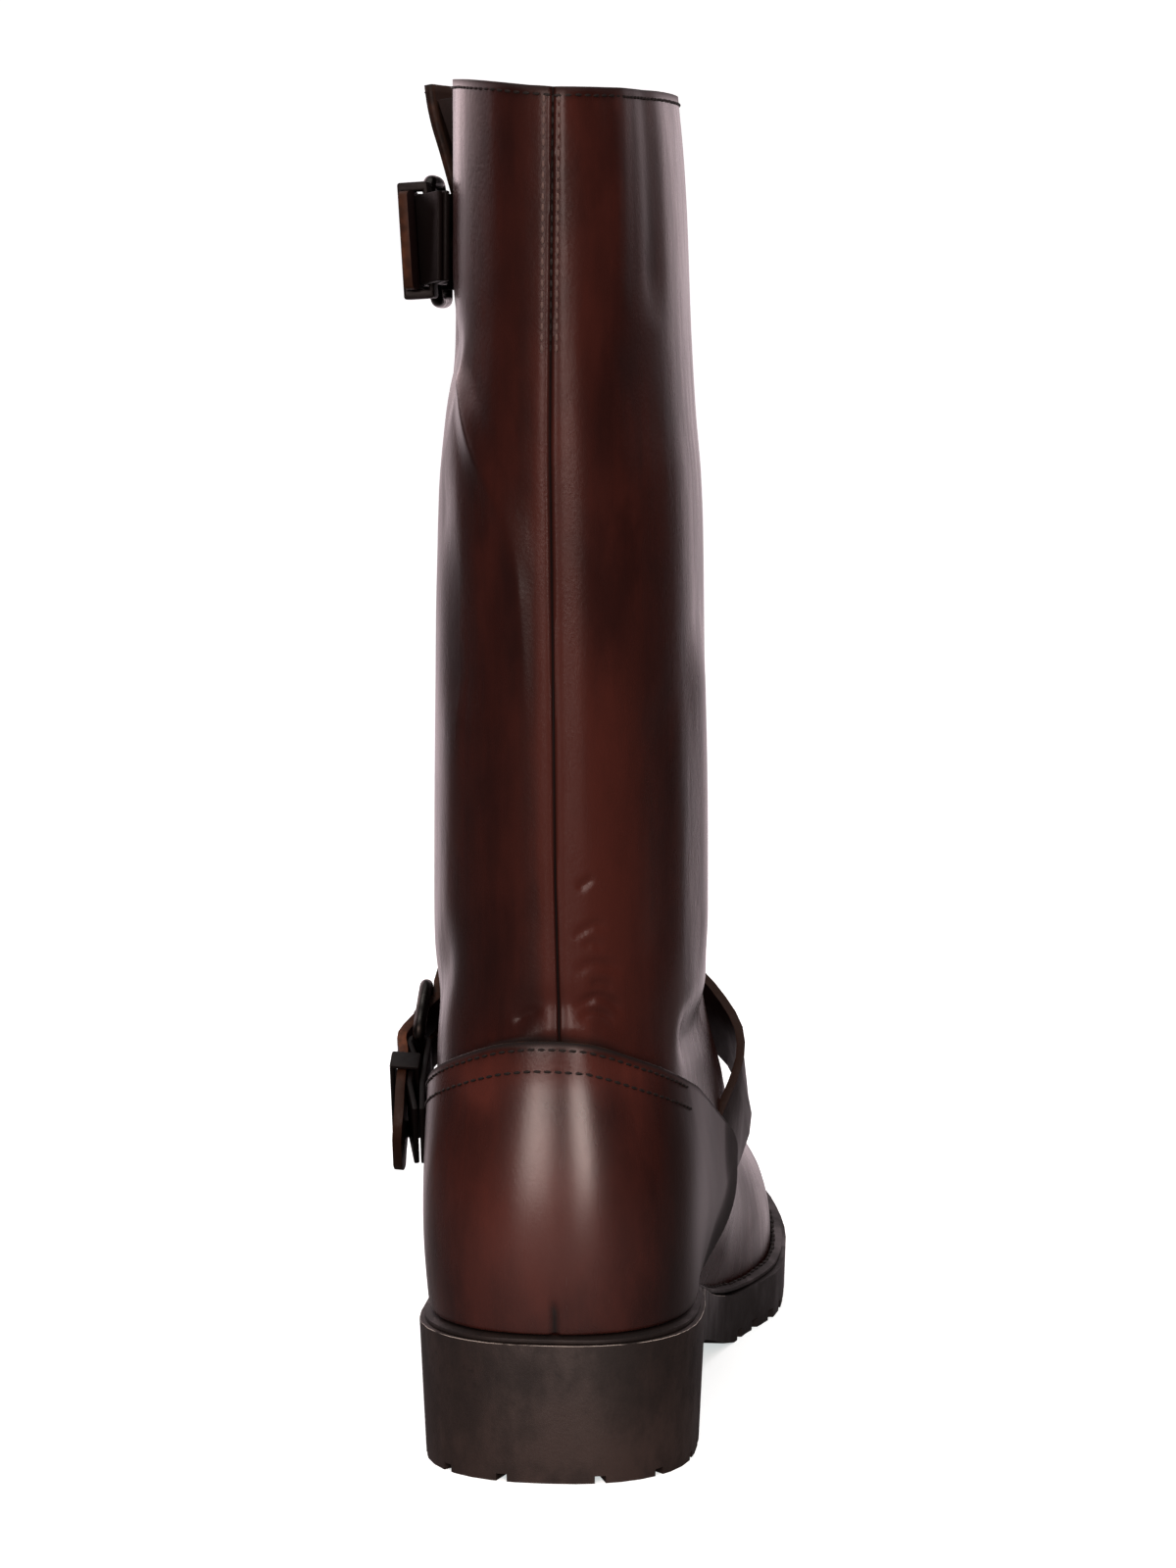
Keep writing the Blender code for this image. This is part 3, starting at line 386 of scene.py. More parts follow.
def tree_of(name):
    """Search tree of a finished piece's outside."""
    return BVHTree.FromObject(bpy.data.objects[name], bpy.context.evaluated_depsgraph_get())


def hit(tree, start, aim, must=True):
    """First place and normal on a piece, in metres, from a start towards an aim in millimetres."""
    start, aim = Vector(start) * MM, Vector(aim) * MM
    place, normal, _, _ = tree.ray_cast(start, (aim - start).normalized())
    if place is None and must:
        raise RuntimeError("no surface under a stitch")
    return place, normal


class Sockets:
    """Short way to add and join nodes of one tree."""

    def __init__(self, tree):
        self.tree = tree

    def node(self, kind, **values):
        made = self.tree.nodes.new(kind)
        for name, value in values.items():
            setattr(made, name, value)
        return made

    def link(self, source, target):
        self.tree.links.new(source, target)

    def feed(self, node, values):
        """Links or sets inputs of a node, by name or number."""
        for name, value in values.items():
            if isinstance(value, bpy.types.NodeSocket):
                self.link(value, node.inputs[name])
            else:
                node.inputs[name].default_value = value

    def math(self, operation, a, b, clamp=False):
        made = self.node("ShaderNodeMath", operation=operation, use_clamp=clamp)
        self.feed(made, {0: a, 1: b})
        return made.outputs[0]

    def times(self, first, *others):
        for other in others:
            first = self.math("MULTIPLY", first, other)
        return first

    def noise(self, vector, scale, detail=2.0, roughness=0.5):
        made = self.node("ShaderNodeTexNoise")
        self.feed(made, {"Vector": vector, "Scale": scale, "Detail": detail, "Roughness": roughness})
        return made.outputs["Fac"]

    def stretch(self, vector, upright):
        made = self.node("ShaderNodeMapping")
        self.feed(made, {"Vector": vector, "Scale": (1.0, 1.0, upright)})
        return made.outputs["Vector"]

    def remap(self, value, low, high, to_low=0.0, to_high=1.0):
        made = self.node("ShaderNodeMapRange", interpolation_type="SMOOTHSTEP")
        self.feed(made, {"Value": value, "From Min": low, "From Max": high,
                         "To Min": to_low, "To Max": to_high})
        return made.outputs["Result"]

    def mix(self, share, a, b):
        made = self.node("ShaderNodeMix", data_type="RGBA")
        a, b = (part if isinstance(part, bpy.types.NodeSocket) else (*part[:3], 1.0) for part in (a, b))
        self.feed(made, {0: share, 6: a, 7: b})
        return made.outputs[2]

    def attribute(self, name):
        return self.node("ShaderNodeAttribute", attribute_name=name).outputs["Fac"]


def group_tree(name, inputs, outputs):
    """New shader node group and its helper, or the group of that name and None."""
    known = bpy.data.node_groups.get(name)
    if known:
        return known, None
    tree = bpy.data.node_groups.new(name, "ShaderNodeTree")
    for label, kind, default in inputs:
        socket = tree.interface.new_socket(label, in_out="INPUT", socket_type=kind)
        if default is not None:
            socket.default_value = default
    for label, kind in outputs:
        tree.interface.new_socket(label, in_out="OUTPUT", socket_type=kind)
    return tree, Sockets(tree)


def grain_group():
    """Leather grain: pebbles with fine pores, cloudy tone and faint upright rubbing."""
    tree, add = group_tree(
        "Leather grain",
        (("Vector", "NodeSocketVector", None), ("Size", "NodeSocketFloat", 0.0009)),
        (("Height", "NodeSocketFloat"), ("Cloud", "NodeSocketFloat"), ("Rub", "NodeSocketFloat"),
         ("Patch", "NodeSocketFloat")))
    if add is None:
        return tree
    enter = add.node("NodeGroupInput")
    vector = enter.outputs["Vector"]
    scaled = add.node("ShaderNodeVectorMath", operation="SCALE")
    add.feed(scaled, {0: vector, "Scale": add.math("DIVIDE", 1.0, enter.outputs["Size"])})
    pebbles = add.node("ShaderNodeTexVoronoi", feature="SMOOTH_F1")
    add.feed(pebbles, {"Vector": scaled.outputs[0], "Scale": 1.0})
    pores = add.noise(scaled.outputs[0], 2.2, detail=3.0, roughness=0.6)
    height = add.math("ADD", add.times(pebbles.outputs["Distance"], -0.7), add.times(pores, 0.6))
    waves = add.noise(add.stretch(vector, 0.4), 230.0)
    cloud = add.noise(add.stretch(vector, 0.55), 42.0, detail=4.0, roughness=0.55)
    rub = add.noise(add.stretch(vector, 0.12), 160.0, detail=3.0, roughness=0.6)
    patch = add.noise(add.stretch(vector, 0.5), 30.0, detail=5.0, roughness=0.6)
    add.feed(add.node("NodeGroupOutput"), {
        "Height": add.math("ADD", height, add.times(waves, 1.6)), "Cloud": add.remap(cloud, 0.22, 0.80),
        "Rub": add.remap(rub, 0.35, 0.75), "Patch": add.remap(patch, 0.48, 0.66)})
    return tree


def rubber_group():
    """Moulded rubber: fine skin, smudges and small pits."""
    tree, add = group_tree(
        "Moulded rubber",
        (("Vector", "NodeSocketVector", None),),
        (("Height", "NodeSocketFloat"), ("Smudge", "NodeSocketFloat"), ("Pit", "NodeSocketFloat")))
    if add is None:
        return tree
    vector = add.node("NodeGroupInput").outputs["Vector"]
    skin = add.noise(vector, 1500.0, detail=3.0, roughness=0.6)
    waves = add.noise(vector, 190.0)
    smudge = add.noise(add.stretch(vector, 0.6), 75.0, detail=5.0, roughness=0.62)
    pits = add.noise(vector, 420.0)
    add.feed(add.node("NodeGroupOutput"), {
        "Height": add.math("ADD", add.times(skin, 0.35), add.times(waves, 0.8)),
        "Smudge": add.remap(smudge, 0.36, 0.68), "Pit": add.remap(pits, 0.60, 0.72)})
    return tree


def new_material(name):
    """Principled material, its nodes helper, its shader and its object coordinates."""
    material = bpy.data.materials.new(name)
    material.use_nodes = True
    add = Sockets(material.node_tree)
    shader = material.node_tree.nodes["Principled BSDF"]
    place = add.node("ShaderNodeTexCoord").outputs["Object"]
    return material, add, shader, place


def bumped(add, shader, height, strength, depth):
    """Bump of a height on a shader."""
    bump = add.node("ShaderNodeBump")
    add.feed(bump, {"Strength": strength, "Distance": depth, "Height": height})
    add.link(bump.outputs["Normal"], shader.inputs["Normal"])


def leather(name, dark, red, grain, gloss, shine=0.5, coat=0.0, masks=()):
    """Waxed leather, with its roughness between two values of gloss.

    Masks darken and dull seams and painted shade ('seam'), redden rubbed places, in spots partly as painted
    light ('rubbed'), and bear the coat of wax ('polish').
    """
    material, add, shader, place = new_material(name)
    skin = add.node("ShaderNodeGroup", node_tree=grain_group())
    add.feed(skin, {"Vector": place, "Size": grain})
    cloud, rub = skin.outputs["Cloud"], skin.outputs["Rub"]
    tone = add.math("ADD", add.times(cloud, 0.55), add.times(rub, 0.20))
    patch = add.times(skin.outputs["Patch"], 0.65)
    if "rubbed" in masks:
        rubbed = add.attribute("rubbed")
        tone = add.math("ADD", tone, add.times(rubbed, 0.75), clamp=True)
        patch = add.times(patch, add.remap(rubbed, 0.0, 1.0, 1.0, 0.35))
    colour = add.mix(patch, add.mix(tone, dark, red), dark)
    rough = add.remap(add.math("ADD", cloud, rub), 0.2, 1.6, gloss[1], gloss[0])
    # The 'seam' mask paints near black: real seam grooves, and painted shade along the counter's edges, on
    # its inner side and on the upper above it.
    if "seam" in masks:
        seam = add.attribute("seam")
        colour = add.mix(seam, colour, (0.003, 0.0015, 0.0012))
        rough = add.math("MAXIMUM", rough, add.times(seam, 0.8))
    if "polish" in masks:
        coat = add.times(add.attribute("polish"), coat)
    add.feed(shader, {"Base Color": colour, "Roughness": rough, "Specular IOR Level": shine,
                      "Coat Weight": coat, "Coat Roughness": 0.25})
    bumped(add, shader, skin.outputs["Height"], strength=0.40, depth=0.00008)
    return material


def raw_edge(name, colour, masked=False):
    """Cut leather edge: fibres, darker in patches; where a mask 'raw' is low, the edge is much darker."""
    material, add, shader, place = new_material(name)
    fibres = add.noise(place, 900.0, detail=3.0, roughness=0.65)
    patches = add.noise(place, 150.0, detail=3.0, roughness=0.6)
    tone = add.mix(add.remap(patches, 0.35, 0.60), colour, shaded(colour, 0.25))
    if masked:
        tone = add.mix(add.attribute("raw"), shaded(colour, 0.17), tone)
    add.feed(shader, {"Base Color": tone, "Roughness": add.remap(fibres, 0.3, 0.7, 0.45, 0.65),
                      "Specular IOR Level": 0.15})
    bumped(add, shader, fibres, strength=0.4, depth=0.00015)
    return material


def thread_finish(name, colour):
    """Waxed thread."""
    material, add, shader, place = new_material(name)
    twist = add.noise(place, 2200.0)
    add.feed(shader, {"Base Color": add.mix(twist, colour, shaded(colour, 2.4)),
                      "Roughness": add.remap(twist, 0.3, 0.7, 0.6, 0.8), "Specular IOR Level": 0.25})
    return material


def rubber(name, colour, rubbed=False):
    """Dark moulded rubber, paler low down at the heel, darker ahead of the heel as painted shade, and pale
    on its rubbed lip, partly as painted highlight.
    """
    material, add, shader, place = new_material(name)
    skin = add.node("ShaderNodeGroup", node_tree=rubber_group())
    add.link(place, skin.inputs["Vector"])
    smudge = skin.outputs["Smudge"]
    tone = add.mix(smudge, shaded(colour, 0.5), shaded(colour, 1.25))
    tone = add.mix(add.times(skin.outputs["Pit"], 0.5), tone, shaded(colour, 0.35))
    if rubbed:
        apart = add.node("ShaderNodeSeparateXYZ")
        add.link(place, apart.inputs[0])
        ahead = apart.outputs["Y"]
        low = add.times(add.remap(apart.outputs["Z"], 0.030, 0.003), add.remap(ahead, 0.050, 0.030))
        # Painted shade: the sole ahead of the heel is made much darker, as its sidewall lies in shade.
        tone = add.mix(add.remap(ahead, 0.030, 0.060), tone, shaded(colour, 0.4))
        paler_low = add.times(low, add.remap(smudge, 0.0, 1.0, 0.35, 0.9))
        tone = add.mix(paler_low, tone, shaded(colour, 1.9))
        # Pale lip of the heel: partly real rubbed wear, partly a painted highlight where the lip faces the
        # lights.
        patchy = add.remap(add.noise(place, 120.0, detail=3.0, roughness=0.6), 0.33, 0.53)
        pale = (0.70, 0.64, 0.58)
        tone = add.mix(add.times(add.attribute("rubbed"), patchy), tone, pale)
    add.feed(shader, {"Base Color": tone, "Roughness": add.remap(smudge, 0.0, 1.0, 0.66, 0.50),
                      "Specular IOR Level": 0.3})
    bumped(add, shader, skin.outputs["Height"], strength=0.5, depth=0.0003)
    return material


def metal(name, colour):
    """Dark worn buckle metal."""
    material, add, shader, place = new_material(name)
    wear = add.remap(add.noise(place, 260.0, detail=4.0, roughness=0.6), 0.4, 0.7)
    add.feed(shader, {"Base Color": add.mix(wear, colour, shaded(colour, 2.6)),
                      "Roughness": add.remap(wear, 0.0, 1.0, 0.42, 0.24), "Metallic": 1.0})
    return material


class BOOT_OT_upper(bpy.types.Operator):
    """Creased upper with its seam, the gusset and the insole."""

    bl_idname = "boot.upper"
    bl_label = "Upper"

    def execute(self, context):
        colours, shape = context.scene.boot_leather, context.scene.boot_shape
        bm = self.fine_sheet()
        places, normals = places_of(bm)
        beside = places[:, 0] - seam_place(places[:, 2])
        back = (places[:, 1] < 0.0) & (places[:, 2] > SEAM_FOOT * MM)
        groove = bell(beside, 0.0, shape.seam_width) * back
        pads = bell(np.abs(beside), PAD_PLACE * MM, PAD_WIDTH * MM) * back
        lift = shape.crease * self.creases(bm, places) + pads * PAD_RISE * MM - groove * shape.seam_depth
        for vert, step, way in zip(bm.verts, lift, normals):
            vert.co += Vector(way * step)
        top = np.array([vert.is_boundary and vert.co.z > 250.0 * MM for vert in bm.verts])
        finish = leather("shaft_leather", colours.dark, colours.red, colours.grain, gloss=(0.22, 0.30),
                         shine=0.15, masks=("seam", "rubbed"))
        inside = leather("lining_leather", shaded(colours.lining, 0.6), colours.lining, colours.grain,
                         gloss=(0.65, 0.8), shine=0.1)
        edge = raw_edge("collar_edge", shaded(colours.raw, 0.3))
        piece = dressed("upper_leather", bm, (finish, inside, edge), ("upper",))
        collar = 0.7 * bell(gap_to(places, top), 0.0, 2.0 * MM, power=4)
        set_mask(piece, "seam", np.clip(np.maximum(groove * 1.1, collar), 0.0, 1.0))
        reach = np.where(beside > 0.0, 3.7 * MM, 2.3 * MM)
        sides = bell(np.abs(beside) / reach, 1.0, 1.0) * ramp(places[:, 2], 315.0 * MM, 255.0 * MM)
        set_mask(piece, "rubbed", np.clip(sides + rubs(places, SHAFT_RUBS), 0.0, 1.0) * back)
        wall = piece.modifiers.new("wall", "SOLIDIFY")
        wall.thickness = shape.wall
        wall.offset = -1.0
        wall.material_offset = 1
        wall.material_offset_rim = 2
        self.dress_inside(colours)
        return {"FINISHED"}

    def fine_sheet(self):
        """Rounded outside of the upper, with finer faces where it is creased and at its seam."""
        bm = merged("upper")
        outer_sheet(bm)
        tall = [edge for edge in bm.edges
                if min(vert.co.z for vert in edge.verts) > 118.0 * MM and edge.calc_length() > 11.0 * MM
                and abs(edge.verts[0].co.z - edge.verts[1].co.z) > 0.8 * edge.calc_length()]
        bmesh.ops.subdivide_edges(bm, edges=tall, cuts=1, use_grid_fill=True)
        bm = rounded(bm, 2)
        for _ in range(4):
            inside = [vert for vert in bm.verts if not vert.is_boundary]
            bmesh.ops.smooth_vert(bm, verts=inside, factor=0.5, use_axis_x=True, use_axis_y=True,
                                  use_axis_z=True)
        self.gather_at_seam(bm)
        for holds, cuts in ((self.folded, 1), (self.wrinkled, 2)):
            creased = [edge for edge in bm.edges
                       if any(holds(face.calc_center_median() / MM) for face in edge.link_faces)]
            bmesh.ops.subdivide_edges(bm, edges=creased, cuts=cuts, use_grid_fill=True)
        return bm

    @staticmethod
    def creases(bm, places):
        """Rise of every corner from the tables of creases, folds and wrinkles, in metres."""
        lift = np.zeros(len(places))
        for width, depth, line in CREASES.values():
            gap, share = near_line(places, smooth_line(line))
            lift += depth * MM * bell(gap, 0.0, width * MM) * soft_end(share)
        for width, rise, line in FOLDS.values():
            gap, share = near_line(places, smooth_line(line))
            blunt = np.hypot(gap, FOLD_RIDGE * MM) - FOLD_RIDGE * MM
            flank = np.clip(1.0 - blunt / (width * MM), 0.0, 1.0)
            fade = np.clip(1.5 - 1.6 * share, 0.25, 1.0)
            lift += rise * MM * flank ** 2 * soft_end(share, 0.3) * fade
        skin = BVHTree.FromBMesh(bm)
        for width, depth, line in WRINKLES:
            spots = [hit(skin, (x, -RAY_START, z), (x, 0, z))[0] / MM for x, z in line]
            gap, share = near_line(places, smooth_line(spots))
            lift += depth * MM * bell(gap, 0.0, width * MM) * soft_end(share, 0.35)
        return lift

    @staticmethod
    def dress_inside(colours):
        """Gusset behind the slit, and the insole."""
        # Near-black gusset: painted shade, as it sits in shadow behind the slit.
        finish = leather("gusset_leather", (0.006, 0.003, 0.0025), (0.02, 0.008, 0.006), colours.grain,
                         gloss=(0.6, 0.75), shine=0.15)
        gusset = rounded(merged("gusset"), 2, hold=0.7)
        dressed("gusset_leather", gusset, (finish,), ("gusset",))
        board = merged("insole")
        sharp = [edge for edge in board.edges if edge.calc_face_angle(0.0) > 0.9]
        round_edges(board, sharp, 0.5, clamp=False)
        finish = leather("insole_leather", shaded(colours.lining, 0.7), colours.lining, colours.grain,
                         gloss=(0.55, 0.7))
        dressed("insole_board", board, (finish,), ("insole",))

    @staticmethod
    def wrinkled(place):
        """True in the stretch above the heel that holds the fine wrinkles."""
        return -14.0 < place.x < 24.0 and place.y < -10.0 and 104.0 < place.z < 156.0

    @staticmethod
    def folded(place):
        """True in the stretch of the shaft that holds its fold."""
        return place.x < -3.0 and place.y < 8.0 and 184.0 < place.z < 292.0

    @staticmethod
    def gather_at_seam(bm, reach=6.0 * MM):
        """Draws the columns of the mesh together at the back seam, so that its groove can be fine."""
        for vert in bm.verts:
            beside = vert.co.x - float(seam_place(vert.co.z))
            if vert.co.y < 0.0 and vert.co.z > SEAM_FOOT * MM and abs(beside) < reach:
                share = abs(beside) / reach
                step = beside * (0.25 + 0.75 * share) - beside
                along = Vector((vert.normal.y, -vert.normal.x, 0.0)).normalized()
                vert.co += along * math.copysign(1.0, along.x) * step


class BOOT_OT_counter(bpy.types.Operator):
    """Heel counter with its short seam."""

    bl_idname = "boot.counter"
    bl_label = "Counter"

    def execute(self, context):
        colours = context.scene.boot_leather
        bm = rounded(merged("counter"), 3, hold=0.4)
        places, normals = places_of(bm)
        x, y, z = places.T
        slit = bell(x - seam_place(z), 0.0, 0.9 * MM) * ramp(z, 47.0 * MM, 44.0 * MM) * (y < 0.0)
        for vert, share, way in zip(bm.verts, slit, normals):
            vert.co -= Vector(way * share * 0.7 * MM)
        for polygon in bm.faces:
            at_front = polygon.normal.y > 0.5 and polygon.calc_center_median().y > 30.0 * MM
            polygon.material_index = 1 if polygon.normal.z > 0.5 or at_front else 0
        finish = leather("counter_leather", colours.dark, shaded(colours.red, 1.3), colours.grain,
                         gloss=(0.22, 0.29), shine=0.20, coat=0.8, masks=("seam", "rubbed", "polish"))
        bead = raw_edge("counter_edge", shaded(colours.raw, 0.25))
        piece = dressed("counter_leather", bm, (finish, bead), ("counter",))
        # The slit is the real seam. The line along the top edge is partly the real joint with the upper,
        # partly painted shade; the band back from the front edge and the darker inner side are painted
        # shade.
        front = (normals[:, 1] > 0.45) & (y > 50.0 * MM) & (x > 0.0)
        groove = bell(gap_to(places, normals[:, 2] > 0.6), 0.0, 1.5 * MM)
        nose = 0.9 * bell(gap_to(places, front), 0.0, 20.0 * MM, power=4)
        inner = 0.52 * ramp(x, 22.0 * MM, 30.0 * MM)
        set_mask(piece, "seam", np.max((slit, groove, nose, inner), axis=0))
        band = 0.6 * bell(z, 104.0 * MM, 6.0 * MM)
        # Counter's rubbed mask: the band between the stitch rows is rubbed wear; the lower middle is partly
        # rubbed wear, partly painted light from the floor.
        set_mask(piece, "rubbed", np.clip(band + rubs(places, HEEL_RUBS_AND_LIGHT), 0.0, 1.0) * (y < 30.0 * MM))
        middle = bell(x, 2.0 * MM, 22.0 * MM, power=4) * (y < 0.0)
        below = np.maximum(ramp(z, 104.0 * MM, 99.0 * MM), 0.15)
        set_mask(piece, "polish", middle * (1.0 - groove) * below)
        self.shade_above()
        return {"FINISHED"}

    @staticmethod
    def shade_above():
        """Painted contact shadow: a dark line on the upper where the counter's top edge lies on it."""
        counter = tree_of("counter_leather")
        upper = bpy.data.objects["upper_leather"].data
        seam = upper.attributes["seam"].data
        for vert, mask in zip(upper.vertices, seam):
            if 50.0 * MM < vert.co.z < 125.0 * MM:
                gap = counter.find_nearest(vert.co)[3]
                mask.value = max(mask.value, bell(gap, 0.0, 1.3 * MM))


class BOOT_OT_straps(bpy.types.Operator):
    """Straps, chapes and keepers of both buckles, with raw cut edges."""

    bl_idname = "boot.straps"
    bl_label = "Straps"

    def execute(self, context):
        colours = context.scene.boot_leather
        face = leather("strap_leather", shaded(colours.strap, 0.6), shaded(colours.strap, 1.8),
                       colours.grain, gloss=(0.34, 0.48), shine=0.25)
        # Keepers and chapes get a darker copy of the strap leather: painted shade, as they sit in shadow
        # between strap and shaft.
        loop = leather("keeper_leather", shaded(colours.strap, 0.3), shaded(colours.strap, 0.7),
                       colours.grain, gloss=(0.45, 0.60), shine=0.2)
        edge = raw_edge("strap_edge", colours.raw, masked=True)
        for name, run in (("ankle", ANKLE_RUN), ("collar", COLLAR_RUN)):
            strap = merged(name + "_strap")
            for polygon in strap.faces:
                longest = max(side.calc_length() for side in polygon.edges)
                cut_end = polygon.normal.dot(run) > 0.8 and polygon.calc_center_median().x < -30.0 * MM
                polygon.material_index = 1 if longest < 8.0 * MM or cut_end else 0
            if name == "ankle":
                self.tuck_end(strap)
            self.finish(strap, name + "_strap", (face, edge))
            self.finish(merged(name + "_chape"), name + "_chape", (loop,))
            keeper = merged(name + "_keeper")
            self.fit_keeper(keeper, name, run)
            self.finish(keeper, name + "_keeper", (loop,), 0.9)
        return {"FINISHED"}

    @staticmethod
    def fit_keeper(bm, name, run):
        """Thickens the walls of the collar's loop, and narrows the ankle's along its strap."""
        across = run.cross(Vector((1.0, 0.0, 0.0)))
        middle = sum((vert.co for vert in bm.verts), Vector()) / len(bm.verts)
        for vert in bm.verts:
            if name == "collar":
                place = (vert.co - middle).dot(across)
                step = -0.5 if abs(place) < 13.8 * MM else 0.5
                vert.co += across * math.copysign(1.0, place) * step * MM
            else:
                vert.co -= run * (vert.co - middle).dot(run) * 0.3

    @staticmethod
    def finish(bm, node, materials, round_off=0.4):
        """Rounds off the cut edges of a strap piece and dresses it."""
        sharp = [side for side in bm.edges if side.calc_face_angle(0.0) > math.radians(50.0)]
        round_edges(bm, sharp, round_off)
        places, _ = places_of(bm)
        piece = dressed(node + "_leather", bm, materials, (node,))
        bare = ramp(places[:, 2], 88.0 * MM, 94.0 * MM) * ramp(places[:, 0], -40.0 * MM, -44.0 * MM)
        set_mask(piece, "raw", bare * (1.0 - 0.75 * ramp(places[:, 2], 301.0 * MM, 313.0 * MM)))

    @staticmethod
    def tuck_end(bm):
        """Bends the sewn end of the ankle strap in behind the nose of the counter."""
        for vert in bm.verts:
            past = (TUCK_PLACE * MM - vert.co).dot(TUCK_WAY) / (TUCK_LENGTH * MM)
            if vert.co.x > 20.0 * MM and past > 0.0:
                vert.co += TUCK_SHIFT * MM * min(past, 1.0) ** 2


class BOOT_OT_buckles(bpy.types.Operator):
    """Wire buckles and their prongs, swollen by what rounding takes off the wire."""

    bl_idname = "boot.buckles"
    bl_label = "Buckles"

    def execute(self, context):
        finish = metal("buckle_metal", context.scene.boot_leather.metal)
        for node in ("ankle_buckle", "ankle_prong", "collar_buckle", "collar_prong"):
            bm = rounded(merged(node), 2)
            bm.normal_update()
            for vert in bm.verts:
                vert.co += vert.normal * 0.45 * MM
            dressed(node + "_metal", bm, (finish,), (node,))
        return {"FINISHED"}


class BOOT_OT_sole(bpy.types.Operator):
    """Lugged rubber sole and the welt on its ledge."""

    bl_idname = "boot.sole"
    bl_label = "Sole"

    def execute(self, context):
        colours = context.scene.boot_leather
        bm = merged("sole")
        bmesh.ops.dissolve_limit(bm, angle_limit=math.radians(0.5), verts=bm.verts, edges=bm.edges)
        lip = [edge for edge in bm.edges
               if edge.is_convex and edge.calc_face_angle(0.0) > math.radians(60.0)
               and min(vert.co.z for vert in edge.verts) > 14.0 * MM
               and max(side.normal.z for side in edge.link_faces) > 0.7]
        brow = set(round_edges(bm, lip, 0.9))
        # Corners of the rounded lip: their pale tone is partly rubbed wear, partly painted highlight.
        rubbed = [all(side in brow for side in vert.link_faces) for vert in bm.verts]
        finish = rubber("sole_rubber", colours.rubber, rubbed=True)
        piece = dressed("rubber_sole", bm, (finish,), ("sole",), sharp=35.0)
        set_mask(piece, "rubbed", rubbed)
        finish = rubber("welt_rubber", shaded(colours.rubber, 0.7))
        dressed("welt_strip", rounded(merged("welt"), 2, hold=0.6), (finish,), ("welt",))
        return {"FINISHED"}


def top_of(tree, outside, aim, high, low):
    """Highest place of a wall seen from outside towards an upright axis, in millimetres, or None."""
    for tenth in range(10 * high, 10 * low, -2):
        height = 0.1 * tenth
        start = Vector((*outside, height)) * MM
        way = Vector((*aim, height)) * MM - start
        if tree.ray_cast(start, way.normalized(), way.length)[0] is not None:
            return height
    return None


def ring_row(tree, centre, turns, high, low, drop):
    """Places and normals a drop below the top edge of a wall round an upright axis, in millimetres."""
    row = []
    for degrees in turns:
        turn = math.radians(degrees)
        outside = (centre[0] + RAY_START * math.sin(turn), centre[1] - RAY_START * math.cos(turn))
        top = top_of(tree, outside, centre, high, low)
        if top is not None:
            spot = hit(tree, (*outside, top - drop), (*centre, top - drop), must=False)
            row += [spot] if spot[0] else []
    return row


def even_steps(points, step):
    """Places at even steps along a line of (place, normal) pairs, with the way ahead."""
    out = []
    carry = 0.0
    for (here, normal), (there, _) in zip(points, points[1:]):
        length = (there - here).length
        while carry < length:
            out.append((here.lerp(there, carry / length), normal, (there - here).normalized()))
            carry += step
        carry -= length
    return out


def add_stitches(bm, points, step, radius):
    """Row of short thread bumps along a line, partly sunk into the leather."""
    for place, normal, ahead in even_steps(points, step):
        across = normal.cross(ahead).normalized()
        up = ahead.cross(across).normalized()
        turn = Matrix((ahead, across, up)).transposed().to_4x4()
        size = Matrix.Diagonal((0.42 * step, radius, radius, 1.0))
        move = Matrix.Translation(place + up * radius * 0.2)
        bmesh.ops.create_icosphere(bm, subdivisions=1, radius=1.0, matrix=move @ turn @ size)


class BOOT_OT_stitches(bpy.types.Operator):
    """Thread of the back seam, the collar, the counter and the welt."""

    bl_idname = "boot.stitches"
    bl_label = "Stitches"

    def execute(self, context):
        shape, thread = context.scene.boot_shape, context.scene.boot_leather.thread
        size = (shape.stitch, shape.thread)
        fresh = thread_finish("thread", thread)
        # Paler thread for the rows beside the back seam: painted highlight on the stitches.
        worn = thread_finish("highlit_thread", tuple(share * part for share, part in zip(THREAD_HIGHLIGHT, thread)))
        upper, counter, welt = tree_of("upper_leather"), tree_of("counter_leather"), tree_of("welt_strip")
        for name, offset, look in (("seam_stitches", 0.0, fresh), ("side_stitches", -2.1, worn),
                                   ("edge_stitches", 1.5, worn)):
            row = []
            for height in range(341, 278, -3):
                x = seam_place(height * MM) / MM + offset
                row.append(hit(upper, (x, -RAY_START, height), (x, 0, height)))
            self.sew(name, (row,), size, look, "upper_leather")
        collar = ring_row(upper, (1.0, 30.0), range(-90, 246, 4), 352, 330, 2.0)
        self.sew("collar_stitches", (collar,), size, fresh, "upper_leather")
        heel = [ring_row(counter, (0.0, 15.0), range(-75, 61, 3), 118, 60, drop) for drop in (2.0, 7.4)]
        self.sew("counter_stitches", heel, size, fresh, "counter_leather")
        edges = [self.welt_row(welt, side) for side in (-1, 1)]
        self.sew("welt_stitches", edges, (4.2 * MM, 0.6 * MM), fresh, "welt_rubber")
        return {"FINISHED"}

    @staticmethod
    def welt_row(welt, side):
        """Places and upright normals along one side of the welt."""
        row = []
        for y in range(30, 205, 5):
            top = top_of(welt, (120 * side, y), (0, y), 50, 8)
            place, _ = hit(welt, (120 * side, y, top - 0.4), (0, y, top - 0.4))
            row.append((Vector((place.x - 2.0 * side * MM, place.y, top * MM)), Vector((0.0, 0.0, 1.0))))
        return row

    @staticmethod
    def sew(name, rows, size, finish, slot):
        """Piece of thread from rows of stitches, whose size is their step and radius."""
        bm = bmesh.new()
        for row in rows:
            add_stitches(bm, row, *size)
        dressed(name, bm, (finish,))


